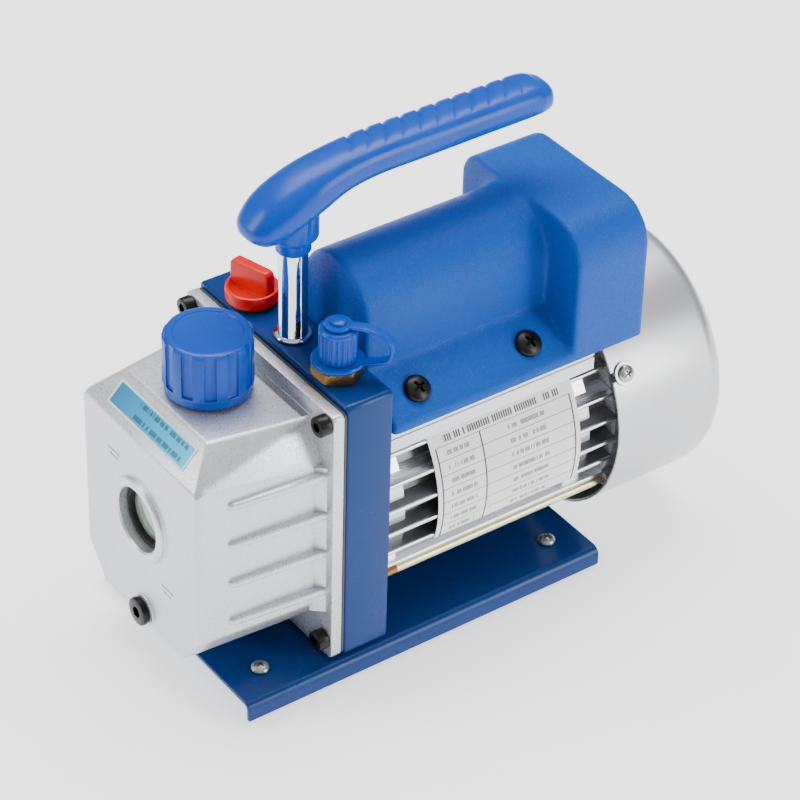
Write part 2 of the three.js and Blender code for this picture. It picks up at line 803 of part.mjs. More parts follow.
function inletCapStrap() {
  const topRing = ringZ(inletButtonRadius - 0.6 + slideGap, inletButtonRadius + 2.4, strapTopSeat,
    strapTopSeat + strapThickness, 0, 0);
  const baseRing = ringZ(inletThreadRadius + slideGap, strapRingRadius, strapSeat,
    strapSeat + strapRingThickness, 0, 0);
  const middle = (strapTopSeat + strapSeat) / 2;
  const path = new THREE.CatmullRomCurve3([
    new THREE.Vector3(inletButtonRadius + 1, 0, strapTopSeat + strapThickness / 2),
    new THREE.Vector3(inletCapRadius + 4, 0, strapTopSeat + strapThickness / 2),
    new THREE.Vector3(strapReach - 2, 0, middle + 4),
    new THREE.Vector3(strapReach - 2.5, 0, middle - 4),
    new THREE.Vector3(inletCapRadius + 8, 0, strapSeat + strapRingThickness * 1.6),
    new THREE.Vector3(inletCapRadius + 4, 0, strapSeat + strapRingThickness),
    new THREE.Vector3(inletCapRadius + 0.8, 0, strapSeat + strapRingThickness * 0.8),
  ]);
  const section = outline([
    [-strapWidth / 2, -strapThickness / 2],
    [strapWidth / 2, -strapThickness / 2],
    [strapWidth / 2, strapThickness / 2],
    [-strapWidth / 2, strapThickness / 2],
  ]);
  const band = new THREE.ExtrudeGeometry(section, { steps: 14, bevelEnabled: false, extrudePath: path });
  return join(topRing, baseRing, band).rotateZ(strapTurn).translate(inletX, fittingsY, 0);
}

function exhaustCap() {
  const seat = bracketTop + 2 * gap + exhaustSealThickness;
  const rim = seat + exhaustCapHeight;
  const wing = block(-wingLength / 2, wingLength / 2, -wingThickness / 2, wingThickness / 2,
    seat + 1, rim + wingHeight);
  return join(
    turnedZ([
      [0, seat - exhaustStubLength],
      [exhaustStubRadius, seat - exhaustStubLength],
      [exhaustStubRadius, seat],
      [exhaustCapRadius - 0.6, seat],
      [exhaustCapRadius, seat + 1.2],
      [exhaustCapRadius, rim - 0.8],
      [exhaustCapRadius - 0.8, rim],
      [exhaustCapRadius - 2.4, rim - 1.6],
      [0, rim - 1.6],
    ], exhaustX, fittingsY),
    wing.rotateZ(wingTurn).translate(exhaustX, fittingsY, 0),
  );
}

function exhaustSeal() {
  const bottom = bracketTop + gap;
  return ringZ(exhaustStubRadius + gap, exhaustSealRadius, bottom, bottom + exhaustSealThickness,
    exhaustX, fittingsY);
}

// Pump cartridge: an eccentric bore, a slotted rotor with two vanes, and an end cover.
const pumpBodyBack = bracketFront - gap;
const pumpBodyFront = pumpBodyBack - pumpBodyLength;
const boreCentre = shaftHeight + rotorRadius + slideGap - pumpBoreRadius;
const rotorFront = pumpBodyFront + gap;
const rotorBack = pumpBodyBack - gap;

function pumpBolts(y0, y1) {
  const holes = [];
  for (let i = 0; i < 4; i++) {
    const angle = Math.PI / 4 + i * Math.PI / 2;
    holes.push(rodY(pumpBoltRadius, y0, y1, pumpBoltCircle * Math.cos(angle),
      shaftHeight + pumpBoltCircle * Math.sin(angle)));
  }
  return holes;
}

function pumpStator() {
  return cut(
    rodY(pumpBodyRadius, pumpBodyFront, pumpBodyBack, 0, shaftHeight),
    rodY(pumpBoreRadius, pumpBodyFront - 1, pumpBodyBack + 1, 0, boreCentre),
    ...pumpBolts(pumpBodyFront - 1, pumpBodyBack + 1),
  );
}

function pumpEndCover() {
  const back = pumpBodyFront - gap;
  return cut(
    rodY(pumpBodyRadius, back - endCoverThickness, back, 0, shaftHeight),
    rodY(frontJournalRadius + slideGap, back - endCoverThickness - 1, back + 1, 0, shaftHeight),
    ...pumpBolts(back - endCoverThickness - 1, back + 1),
  );
}

function pumpRotor() {
  const slotHalf = vaneThickness / 2 + slideGap;
  const journalFront = pumpBodyFront - gap - endCoverThickness;
  const journalBack = rotorBack + rearJournalLength;
  return cut(
    turnedY([
      [0, journalFront],
      [frontJournalRadius, journalFront],
      [frontJournalRadius, rotorFront],
      [rotorRadius, rotorFront],
      [rotorRadius, rotorBack],
      [rearJournalRadius, rotorBack],
      [rearJournalRadius, journalBack],
      [0, journalBack],
    ], 0, shaftHeight),
    block(-rotorRadius - 1, rotorRadius + 1, rotorFront, rotorBack, shaftHeight - slotHalf, shaftHeight + slotHalf),
    block(-rearJournalRadius - 1, rearJournalRadius + 1, journalBack - tangDepth - gap, journalBack + 1,
      shaftHeight - tangWidth / 2 - gap, shaftHeight + tangWidth / 2 + gap),
  );
}

function vane(side) {
  const tip = rotorRadius - vaneTipInset;
  const x0 = side > 0 ? tip - vaneDepth : -tip;
  return block(x0, x0 + vaneDepth, rotorFront + gap, rotorBack - gap,
    shaftHeight - vaneThickness / 2, shaftHeight + vaneThickness / 2);
}

function shaftSeal() {
  return ringY(rearJournalRadius + slideGap, sealRadius, bracketFront, bracketFront + sealThickness,
    0, shaftHeight);
}

// Motor
function driveShaft() {
  const tangFront = rotorBack + rearJournalLength - tangDepth;
  const shoulder = tangFront + tangDepth + gap;
  return join(
    rodY(shaftRadius, shoulder, shaftEnd, 0, shaftHeight),
    block(-shaftRadius + 0.6, shaftRadius - 0.6, tangFront, shoulder + 1,
      shaftHeight - tangWidth / 2, shaftHeight + tangWidth / 2),
  );
}

function bearing(y0) {
  return ringY(shaftRadius + slideGap, bearingRadius, y0, y0 + bearingWidth, 0, shaftHeight);
}

function rodPlaces() {
  return rodSpots.flatMap(([x, z]) => [[x, z], [-x, z]]);
}

// Housing: a tube with side fins, two thicker collars, and rails on top that the casing's skirt rests on.
function motorHousing() {
  const pieces = [
    rodY(housingRadius, housingFront, housingBack, 0, shaftHeight),
    rodY(collarRadius, housingFront, housingFront + frontCollarEnd, 0, shaftHeight),
    rodY(collarRadius, housingFront + rearCollarStart, housingFront + rearCollarEnd, 0, shaftHeight),
  ];
  for (let i = 0; i < finCount; i++) {
    const offset = lowestFin + i * finPitch;
    const reach = Math.sqrt(finTipRadius ** 2 - (Math.abs(offset) + finThickness / 2) ** 2);
    const z = shaftHeight + offset;
    pieces.push(block(-reach, reach, housingFront, housingBack, z - finThickness / 2, z + finThickness / 2));
  }
  const railTop = (x) => skirtHeight(x) - skirtDrop - 2 * gap;
  for (const side of [1, -1]) {
    const rail = outline([
      [side * 20, railBottom - 4],
      [side * railHalfWidth, railBottom],
      [side * railHalfWidth, railTop(railHalfWidth)],
      [side * 40, railTop(40)],
      [side * 35, railTop(40)],
      [side * 20, railBottom + 8],
    ]);
    pieces.push(plateY(rail, housingFront, housingFront + railEnd));
  }
  const screws = casingScrewPlaces().map(([side, y]) => {
    return placeOnSkirt(rodZ(casingScrewRadius + gap, -casingScrewLength - 1, 2, 0, 0), side, y);
  });
  return cut(
    join(...pieces),
    rodY(housingBore, housingFront - 1, housingBack + 1, 0, shaftHeight),
    ...rodPlaces().map(([x, z]) => rodY(rodRadius + gap, housingFront - 1, housingBack + 1, x, z)),
    ...screws,
  );
}

function slotHoles(width, inner, outer, y0, y1) {
  const holes = [];
  for (let i = 0; i < slotCount; i++) {
    const bar = block(inner, outer, y0, y1, -width / 2, width / 2);
    holes.push(bar.rotateY(i * 2 * Math.PI / slotCount).translate(0, 0, shaftHeight));
  }
  return holes;
}

function statorCore() {
  const end = coreStart + coreLength;
  return cut(
    ringY(coreBore, housingBore - gap, coreStart, end, 0, shaftHeight),
    ...slotHoles(slotWidth, slotInner, slotOuter, coreStart - 1, end + 1),
  );
}

function motorWinding() {
  const end = coreStart + coreLength;
  const coil = (y0) => ringY(windingInner, windingOuter, y0, y0 + windingReach, 0, shaftHeight);
  return join(
    coil(coreStart - gap - windingReach),
    coil(end + gap),
    ...slotHoles(slotWidth - 2 * gap, slotInner + gap, slotOuter - gap, coreStart - gap - 3, end + gap + 3),
  );
}

function motorRotor() {
  return ringY(shaftRadius + gap, motorRotorRadius, coreStart - motorRotorOverhang,
    coreStart + coreLength + motorRotorOverhang, 0, shaftHeight);
}

function rearEndBell() {
  const ears = rodPlaces().map(([x, z]) => rodY(rodEar, bellFront, bellFront + bellThickness, x, z));
  const windows = [];
  for (let i = 0; i < 6; i++) {
    const window = block(bellBossRadius + 4, bellRadius - 8, bellFront - 1, bellFront + bellThickness + 1, -7, 7);
    windows.push(window.rotateY(i * Math.PI / 3).translate(0, 0, shaftHeight));
  }
  const screws = coverScrewAngles.map((angle) => {
    return placeOnCover(rodZ(coverScrewRadius + gap, -coverScrewReach - 1 - gap, 2, 0, 0), angle);
  });
  return cut(
    join(
      rodY(bellRadius, bellFront, bellFront + bellThickness, 0, shaftHeight),
      rodY(bellBossRadius, bellFront, bellFront + bellBossDepth, 0, shaftHeight),
      ...ears,
    ),
    rodY(shaftRadius + 2, bellFront - 1, bellFront + bellBossDepth + 1, 0, shaftHeight),
    rodY(bearingRadius + gap, bellFront + bellBossDepth - bearingWidth - gap, bellFront + bellBossDepth + 1,
      0, shaftHeight),
    ...rodPlaces().map(([x, z]) => rodY(rodRadius + gap, bellFront - 1, bellFront + bellThickness + 1, x, z)),
    ...windows,
    ...screws,
  );
}

function tieRod([x, z]) {
  const seat = bellFront + bellThickness + gap;
  return turnedY([
    [0, bracketBack - rodDepth],
    [rodRadius, bracketBack - rodDepth],
    [rodRadius, seat],
    [rodNutRadius, seat],
    [rodNutRadius, seat + rodNutThickness],
    [rodRadius, seat + rodNutThickness],
    [rodRadius, seat + rodNutThickness + 2],
    [0, seat + rodNutThickness + 2],
  ], x, z);
}

function coolingFan() {
  const blades = [];
  for (let i = 0; i < fanBlades; i++) {
    const blade = block(fanHubRadius - 1, fanRadius - 0.5, fanFront + fanDisc / 2, fanFront + fanDepth, -1, 1);
    blades.push(blade.rotateY(i * 2 * Math.PI / fanBlades).translate(0, 0, shaftHeight));
  }
  return cut(
    join(
      rodY(fanRadius, fanFront, fanFront + fanDisc, 0, shaftHeight),
      rodY(fanHubRadius, fanFront, fanFront + fanDepth, 0, shaftHeight),
      ...blades,
    ),
    rodY(shaftRadius + gap, fanFront - 1, fanFront + fanDepth + 1, 0, shaftHeight),
  );
}

// Fan cover: a pressed cup with a rounded rear edge and vent slots in its rear face.
function fanCover() {
  const wall = (radius, back, corner) => {
    const points = [[radius, coverFront]];
    for (let i = 0; i <= 3; i++) {
      const angle = i * Math.PI / 6;
      points.push([radius - corner + corner * Math.cos(angle), back - corner + corner * Math.sin(angle)]);
    }
    points.push([0, back]);
    return points;
  };
  const outer = wall(coverRadius, coverBack, coverCorner);
  const inner = wall(coverRadius - coverSheet, coverBack - coverSheet, coverCorner - coverSheet);
  const vents = [];
  for (let i = 0; i < ventCount; i++) {
    const vent = block(ventInner, ventOuter, coverBack - 4, coverBack + 1, -ventWidth / 2, ventWidth / 2);
    vents.push(vent.rotateY(i * 2 * Math.PI / ventCount).translate(0, 0, shaftHeight));
  }
  const screws = coverScrewAngles.map((angle) => {
    return placeOnCover(rodZ(coverScrewRadius + gap, -4, 2, 0, 0), angle);
  });
  const shell = turnedY([...outer, ...inner.reverse(), outer[0]], 0, shaftHeight);
  return cut(shell, ...vents, ...screws);
}

// Puts a piece drawn upright on the fan cover's side wall, turned to the given angle above +X.
function placeOnCover(geometry, angle) {
  const turn = THREE.MathUtils.degToRad(90 - angle);
  geometry.translate(0, 0, coverRadius).rotateY(turn);
  return geometry.translate(0, coverScrewY, shaftHeight);
}

function coverScrew(angle) {
  return placeOnCover(turnedZ([
    [0, -coverScrewReach],
    [coverScrewRadius, -coverScrewReach],
    [coverScrewRadius, gap],
    [coverScrewHeadRadius, gap],
    [coverScrewHeadRadius, gap + coverScrewHeadHeight * 0.45],
    [coverScrewHeadRadius * 0.6, gap + coverScrewHeadHeight],
    [0, gap + coverScrewHeadHeight],
  ], 0, 0), angle);
}

// Top casing, drawn as two sections: the ridge over its whole length and the box at its rear.
function ridgeSection(inset) {
  const left = ridgeX - ridgeRadius + inset;
  const right = ridgeX + ridgeRadius - inset;
  const drop = inset > 0 ? skirtDrop : 0;
  const edge = skirtEdge - drop - (inset > 0 ? 6 : 0);
  const shape = new THREE.Shape();
  shape.moveTo(-casingHalfWidth, edge);
  shape.lineTo(casingHalfWidth, edge);
  shape.lineTo(casingHalfWidth, skirtEdge - drop);
  shape.lineTo(right, skirtHeight(right) - drop);
  shape.absarc(ridgeX, ridgeHeight, ridgeRadius - inset, 0, Math.PI);
  shape.lineTo(left, skirtHeight(left) - drop);
  shape.lineTo(-casingHalfWidth, skirtEdge - drop);
  shape.closePath();
  return shape;
}

function boxSection(inset) {
  const drop = inset > 0 ? skirtDrop : 0;
  const edge = skirtEdge - drop - (inset > 0 ? 6 : 0);
  const right = casingHalfWidth - inset;
  const left = boxLeft + inset;
  const top = casingTop - inset;
  const rightCorner = boxRightCorner - inset;
  const leftCorner = boxLeftCorner - inset;
  const shape = new THREE.Shape();
  shape.moveTo(left, edge);
  shape.lineTo(right, edge);
  shape.absarc(right - rightCorner, top - rightCorner, rightCorner, 0, Math.PI / 2);
  shape.absarc(left + leftCorner, top - leftCorner, leftCorner, Math.PI / 2, Math.PI);
  shape.closePath();
  return shape;
}

function topCasing() {
  const body = join(
    plateY(ridgeSection(0), casingFront, casingBack, 9),
    plateY(boxSection(0), boxFront, casingBack, 5),
  );
  const hollow = join(
    plateY(ridgeSection(casingWall), casingFront + casingWall, casingBack - casingWall, 9),
    plateY(boxSection(casingWall), boxFront + casingWall, casingBack - casingWall, 5),
  );
  const under = railShadow();
  const screws = casingScrewPlaces().map(([side, y]) => {
    return placeOnSkirt(rodZ(casingScrewRadius + gap, -8, 2, 0, 0), side, y);
  });
  return cut(
    body,
    hollow,
    plateY(under, casingFront - 1, casingBack + 1),
    socketOpening(inletSocketX, inletSocketZ, inletSocketWidth, inletSocketHeight),
    socketOpening(switchX, switchZ, switchWidth, switchHeight),
    ...screws,
  );
}

// What the end walls leave open for the rails and the fan cover below the casing.
function railShadow() {
  const side = casingHalfWidth - casingWall;
  const high = shaftHeight + coverRadius + 2 * gap;
  const low = skirtEdge - skirtDrop;
  const shoulder = casingHalfWidth - (high - low) / slopeRise;
  return outline([
    [-side, low - 8],
    [side, low - 8],
    [side, low + casingWall * slopeRise],
    [shoulder, high],
    [-shoulder, high],
    [-side, low + casingWall * slopeRise],
  ]);
}

function socketOpening(x, z, width, height) {
  return block(x - width / 2 - gap, x + width / 2 + gap, casingBack - casingWall - 1, casingBack + 1,
    z - height / 2 - gap, z + height / 2 + gap);
}

function casingScrewPlaces() {
  return casingScrewY.flatMap((y) => [[1, y], [-1, y]]);
}

// Puts a piece drawn upright on the skirt, square to its slope.
function placeOnSkirt(geometry, side, y) {
  return geometry.rotateY(side * skirtSlope).translate(side * casingScrewX, y, skirtHeight(casingScrewX));
}

function casingScrew([side, y]) {
  return placeOnSkirt(turnedZ([
    [0, -casingScrewLength],
    [casingScrewRadius, -casingScrewLength],
    [casingScrewRadius, gap],
    [casingScrewHeadRadius, gap],
    [casingScrewHeadRadius, casingScrewHeadHeight * 0.45],
    [casingScrewHeadRadius * 0.65, casingScrewHeadHeight * 0.9],
    [0, casingScrewHeadHeight],
  ], 0, 0), side, y);
}

function capacitor() {
  return rodY(capacitorRadius, capacitorFront, capacitorFront + capacitorLength, ridgeX, ridgeHeight);
}

// Power inlet: a socket with three flat pins, its bezel outside the casing's rear wall.
function powerInlet() {
  const seat = casingBack + gap;
  const back = seat + inletBezelThickness;
  const front = seat - inletSocketDepth;
  const halfWidth = inletSocketWidth / 2;
  const halfHeight = inletSocketHeight / 2;
  const shell = join(
    block(inletSocketX - halfWidth, inletSocketX + halfWidth, front, back,
      inletSocketZ - halfHeight, inletSocketZ + halfHeight),
    block(inletSocketX - halfWidth - inletBezelRim, inletSocketX + halfWidth + inletBezelRim, seat, back,
      inletSocketZ - halfHeight - inletBezelRim, inletSocketZ + halfHeight + inletBezelRim),
  );
  const floor = front + 3;
  const inner = halfWidth - inletSocketWall;
  const tall = halfHeight - inletSocketWall;
  const cornerCut = 5;
  const cavity = outline([
    [inletSocketX - inner, inletSocketZ - tall],
    [inletSocketX + inner, inletSocketZ - tall],
    [inletSocketX + inner, inletSocketZ + tall - cornerCut],
    [inletSocketX + inner - cornerCut, inletSocketZ + tall],
    [inletSocketX - inner + cornerCut, inletSocketZ + tall],
    [inletSocketX - inner, inletSocketZ + tall - cornerCut],
  ]);
  const pins = [[-7, -2], [7, -2], [0, 2]].map(([x, z]) => block(inletSocketX + x - 1, inletSocketX + x + 1,
    floor - 1, floor + pinLength, inletSocketZ + z - 2, inletSocketZ + z + 2));
  return join(cut(shell, plateY(cavity, floor, back + 1)), ...pins);
}

// Rocker switch: a frame that clips into the rear wall and a rocker that tips about X.
const switchPivotY = casingBack - 2;

function switchBody() {
  const seat = casingBack + gap;
  const back = seat + switchBezelThickness;
  const halfWidth = switchWidth / 2;
  const halfHeight = switchHeight / 2;
  return cut(
    join(
      block(switchX - halfWidth, switchX + halfWidth, seat - switchDepth, back,
        switchZ - halfHeight, switchZ + halfHeight),
      block(switchX - halfWidth - switchRim, switchX + halfWidth + switchRim, seat, back,
        switchZ - halfHeight - switchRim, switchZ + halfHeight + switchRim),
    ),
    block(switchX - halfWidth + switchWall, switchX + halfWidth - switchWall, seat - 10, back + 1,
      switchZ - halfHeight + switchWall, switchZ + halfHeight - switchWall),
  );
}

function switchRocker() {
  const halfWidth = switchWidth / 2 - switchWall - slideGap;
  const halfHeight = switchHeight / 2 - switchWall - 3 * slideGap;
  const side = new THREE.Shape([
    new THREE.Vector2(-2.5, -halfHeight + 1),
    new THREE.Vector2(5, -halfHeight + 0.4),
    new THREE.Vector2(3.2, 0),
    new THREE.Vector2(5, halfHeight - 0.4),
    new THREE.Vector2(-2.5, halfHeight - 1),
  ]);
  const depth = 2 * halfWidth;
  const toPart = new THREE.Matrix4().makeBasis(
    new THREE.Vector3(0, 1, 0), new THREE.Vector3(0, 0, 1), new THREE.Vector3(1, 0, 0));
  const geometry = new THREE.ExtrudeGeometry(side, { depth, bevelEnabled: false }).applyMatrix4(toPart);
  return geometry.translate(-halfWidth, 0, 0).rotateX(rockerTilt).translate(switchX, switchPivotY, switchZ);
}

add('base_plate', basePlate(), bluePaint);
footSpots().forEach((spot, i) => add(`rubber_foot_${i + 1}`, rubberFoot(spot), rubber));
footSpots().forEach((spot, i) => add(`foot_screw_${i + 1}`, footScrew(spot), steel));
add('oil_case', oilCase(), castAluminium);
add('oil_case_gasket', caseGasket(), ptfe);
caseScrewSpots().forEach((spot, i) => add(`oil_case_screw_${i + 1}`, caseScrew(spot), blackSteel));
add('sight_glass', sightGlass(), glass);
add('sight_glass_seal', sightGlassSeal(), rubber);
add('drain_plug', drainPlug(), blackSteel);
add('drain_plug_seal', drainSeal(), rubber);
add('oil_cap', oilCap(), bluePlastic);
add('oil_cap_seal', oilCapSeal(), rubber);
add('pump_bracket', pumpBracket(), bluePaint);
add('handle_post', handlePost(), chrome);
add('handle_grip', handleGrip(), bluePlastic);
add('inlet_fitting', inletFitting(), brass);
add('inlet_cap', inletCap(), bluePlastic);
add('inlet_cap_strap', inletCapStrap(), bluePlastic);
add('exhaust_cap', exhaustCap(), redPlastic);
add('exhaust_cap_seal', exhaustSeal(), rubber);
add('pump_stator', pumpStator(), steel);
add('pump_end_cover', pumpEndCover(), steel);
add('pump_rotor', pumpRotor(), steel);
add('vane_a', vane(1), ptfe);
add('vane_b', vane(-1), ptfe);
add('shaft_seal', shaftSeal(), rubber);
add('drive_shaft', driveShaft(), steel);
add('bearing_front', bearing(bracketBack - bearingWidth), steel);
add('bearing_rear', bearing(bellFront + bellBossDepth - bearingWidth), steel);
add('motor_housing', motorHousing(), machinedAluminium);
add('stator_core', statorCore(), ironCore);
add('motor_winding', motorWinding(), copper);
add('motor_rotor', motorRotor(), machinedAluminium);
add('rear_end_bell', rearEndBell(), castAluminium);
rodPlaces().forEach((place, i) => add(`tie_rod_${i + 1}`, tieRod(place), zincSteel));
add('cooling_fan', coolingFan(), blackPlastic);
add('fan_cover', fanCover(), silverPaint);
coverScrewAngles.forEach((angle, i) => add(`fan_cover_screw_${i + 1}`, coverScrew(angle), steel));
add('top_casing', topCasing(), bluePlastic);
casingScrewPlaces().forEach((place, i) => add(`casing_screw_${i + 1}`, casingScrew(place), blackSteel));
add('capacitor', capacitor(), machinedAluminium);
add('power_inlet', powerInlet(), blackPlastic);
add('switch_body', switchBody(), blackPlastic);
add('switch_rocker', switchRocker(), redPlastic);

// The footprint's centre goes to x = y = 0 and the feet to z = 0.
pump.position.set(0, (frontReach - coverBack) / 2, footDrop);
const part = new THREE.Group();
part.add(pump);

export default part;
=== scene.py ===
import json
import math
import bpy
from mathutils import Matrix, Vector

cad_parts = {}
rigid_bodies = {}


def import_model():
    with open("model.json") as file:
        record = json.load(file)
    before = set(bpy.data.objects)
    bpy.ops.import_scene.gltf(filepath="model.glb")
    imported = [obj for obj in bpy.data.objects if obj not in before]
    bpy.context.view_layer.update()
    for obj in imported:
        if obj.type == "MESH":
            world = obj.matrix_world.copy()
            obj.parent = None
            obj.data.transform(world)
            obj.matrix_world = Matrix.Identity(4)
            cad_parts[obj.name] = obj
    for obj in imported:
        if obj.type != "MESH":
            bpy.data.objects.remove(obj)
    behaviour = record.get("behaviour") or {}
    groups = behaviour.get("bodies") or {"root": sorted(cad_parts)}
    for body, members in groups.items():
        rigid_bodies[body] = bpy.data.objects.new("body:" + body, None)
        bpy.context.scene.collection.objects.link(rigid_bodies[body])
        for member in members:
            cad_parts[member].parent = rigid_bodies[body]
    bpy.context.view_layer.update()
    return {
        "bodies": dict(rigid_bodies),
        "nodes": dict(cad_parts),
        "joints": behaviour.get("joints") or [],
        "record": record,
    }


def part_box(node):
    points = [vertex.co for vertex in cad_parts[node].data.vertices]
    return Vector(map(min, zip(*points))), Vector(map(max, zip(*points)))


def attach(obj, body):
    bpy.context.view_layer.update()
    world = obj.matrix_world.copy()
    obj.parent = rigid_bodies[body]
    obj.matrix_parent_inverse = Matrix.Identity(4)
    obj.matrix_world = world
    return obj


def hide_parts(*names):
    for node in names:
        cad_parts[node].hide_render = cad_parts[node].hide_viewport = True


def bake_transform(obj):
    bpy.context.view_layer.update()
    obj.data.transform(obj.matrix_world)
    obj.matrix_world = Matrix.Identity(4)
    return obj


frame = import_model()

from types import SimpleNamespace
import bmesh
import bpy
from mathutils import Matrix, Vector

cadNodes = frame["nodes"]
mm = 0.001  # the script works in millimetres and scales each finished mesh to metres
print("frame loaded:", len(cadNodes), "nodes")


class Wire:
    # one output socket; arithmetic on it adds Math nodes
    def __init__(self, finish, socket):
        self.finish = finish
        self.socket = socket

    def math(self, operation, first, second=None):
        values = {0: first} if second is None else {0: first, 1: second}
        return self.finish.node('ShaderNodeMath', {'operation': operation}, values)

    def __add__(self, other):
        return self.math('ADD', self, other)

    def __radd__(self, other):
        return self.math('ADD', other, self)

    def __sub__(self, other):
        return self.math('SUBTRACT', self, other)

    def __rsub__(self, other):
        return self.math('SUBTRACT', other, self)

    def __mul__(self, other):
        return self.math('MULTIPLY', self, other)

    def __rmul__(self, other):
        return self.math('MULTIPLY', other, self)

    def __truediv__(self, other):
        return self.math('DIVIDE', self, other)

    def __pow__(self, other):
        return self.math('POWER', self, other)

    def __gt__(self, other):
        return self.math('GREATER_THAN', self, other)

    def __lt__(self, other):
        return self.math('LESS_THAN', self, other)

    def fraction(self):
        return self.math('FRACT', self)


class Finish:
    # one material: a Principled shader and the nodes that feed it
    def __init__(self, name, coords='Object'):
        self.material = bpy.data.materials.new(name)
        self.material.use_nodes = True
        self.tree = self.material.node_tree
        self.tree.nodes.clear()
        self.shader = self.tree.nodes.new('ShaderNodeBsdfPrincipled')
        output = self.tree.nodes.new('ShaderNodeOutputMaterial')
        self.tree.links.new(self.shader.outputs[0], output.inputs[0])
        self.coords = self.node('ShaderNodeTexCoord', out=coords)

    def node(self, kind, settings=None, sockets=None, out=0):
        made = self.tree.nodes.new(kind)
        for key, value in (settings or {}).items():
            if key == 'stops':
                ramp = made.color_ramp
                while len(ramp.elements) < len(value):
                    ramp.elements.new(0.5)
                for element, (place, color) in zip(ramp.elements, value):
                    element.position = place
                    element.color = (*color, 1)
            else:
                setattr(made, key, value)
        self.feed(made, sockets or {})
        return Wire(self, made.outputs[out])

    def feed(self, node, sockets):
        for key, value in sockets.items():
            if isinstance(value, Wire):
                self.tree.links.new(value.socket, node.inputs[key])
            else:
                node.inputs[key].default_value = value

    def set(self, **values):
        self.feed(self.shader, {key.replace('_', ' '): value for key, value in values.items()})
        return self

    def noise(self, scale, detail=2, roughness=0.5, stretch=None):
        vector = self.coords
        if stretch:
            vector = self.node('ShaderNodeMapping', None, {'Vector': vector, 'Scale': stretch})
        return self.node('ShaderNodeTexNoise', None,
                         {'Vector': vector, 'Scale': scale, 'Detail': detail, 'Roughness': roughness})

    def mix(self, factor, first, second):
        return self.node('ShaderNodeMix', {'data_type': 'RGBA'}, {0: factor, 6: first, 7: second}, out=2)

    def bump(self, height, strength, distance):
        normal = self.node('ShaderNodeBump', None,
                           {'Height': height, 'Strength': strength, 'Distance': distance * mm})
        return self.set(Normal=normal)

    def axis(self, name):
        return self.node('ShaderNodeSeparateXYZ', None, {0: self.coords}, out='XYZ'.index(name))


def rgba(red, green, blue):
    # screen values 0 to 255, as linear light
    def linear(value):
        value /= 255
        return value / 12.92 if value <= 0.04045 else ((value + 0.055) / 1.055) ** 2.4
    return (linear(red), linear(green), linear(blue), 1)


finishes = {}


def bluePaint():
    look = dict(color=(0, 54, 122), deep=(0, 44, 104), roughness=0.26)
    finish = Finish('bluePaint')
    drift = finish.noise(28, 3)
    finish.set(Base_Color=finish.mix(drift, rgba(*look['deep']), rgba(*look['color'])))
    finish.set(Roughness=look['roughness'] + (drift - 0.5) * 0.16, Specular_IOR_Level=0.22)
    return finish.bump(finish.noise(900, 3), 0.06, 0.15)


def bluePlastic():
    look = dict(color=(0, 74, 180), deep=(0, 62, 162), roughness=0.27)
    finish = Finish('bluePlastic')
    drift = finish.noise(40, 3)
    finish.set(Base_Color=finish.mix(drift, rgba(*look['deep']), rgba(*look['color'])))
    finish.set(Roughness=look['roughness'] + (drift - 0.5) * 0.18, Specular_IOR_Level=0.26)
    return finish.bump(finish.noise(900, 2), 0.08, 0.2)


def grainedPlastic():
    # spark-eroded leather grain: small flat pebbles parted by fine creases
    look = dict(color=(0, 84, 178), deep=(0, 68, 156), roughness=0.32)
    finish = Finish('grainedPlastic')
    warp = finish.node('ShaderNodeVectorMath', {'operation': 'MULTIPLY_ADD'},
                       {0: finish.node('ShaderNodeTexNoise', None,
                                       {'Vector': finish.coords, 'Scale': 420, 'Detail': 3}, out=1),
                        1: (0.0016,) * 3, 2: finish.coords})
    creases = finish.node('ShaderNodeTexVoronoi', {'feature': 'DISTANCE_TO_EDGE'},
                          {'Vector': warp, 'Scale': 900})
    pebble = finish.node('ShaderNodeMapRange', None, {'Value': creases, 'From Max': 0.32})
    drift = finish.noise(30, 3)
    finish.set(Base_Color=finish.mix(drift * 0.6 + pebble * 0.4, rgba(*look['deep']), rgba(*look['color'])))
    finish.set(Roughness=look['roughness'] + 0.12 * (1 - pebble) + (drift - 0.5) * 0.1,
               Specular_IOR_Level=0.16)
    return finish.bump(pebble * 0.8 + finish.noise(1500, 2) * 0.2, 0.6, 0.22)


def redPlastic():
    look = dict(color=(236, 8, 4), deep=(214, 4, 3), roughness=0.24)
    finish = Finish('redPlastic')
    drift = finish.noise(90, 2)
    finish.set(Base_Color=finish.mix(drift, rgba(*look['deep']), rgba(*look['color'])))
    finish.set(Roughness=look['roughness'] + (drift - 0.5) * 0.14, Specular_IOR_Level=0.3)
    return finish.bump(finish.noise(700, 2), 0.08, 0.2)


def castSilver():
    # silver lacquer over a die casting: fine sparkle, faint orange peel
    look = dict(color=(224, 225, 229), deep=(190, 192, 198), roughness=0.38)
    finish = Finish('castSilver')
    sparkle = finish.node('ShaderNodeTexVoronoi', None, {'Vector': finish.coords, 'Scale': 2600}, out=1)
    glint = finish.node('ShaderNodeSeparateXYZ', None, {0: sparkle})
    drift = finish.noise(26, 4)
    tone = drift * 0.7 + glint * 0.3
    finish.set(Base_Color=finish.mix(tone, rgba(*look['deep']), rgba(*look['color'])))
    finish.set(Metallic=0.7, Roughness=look['roughness'] + (glint - 0.5) * 0.24)
    return finish.bump(finish.noise(620, 4, 0.6) * 0.7 + glint * 0.3, 0.22, 0.3)


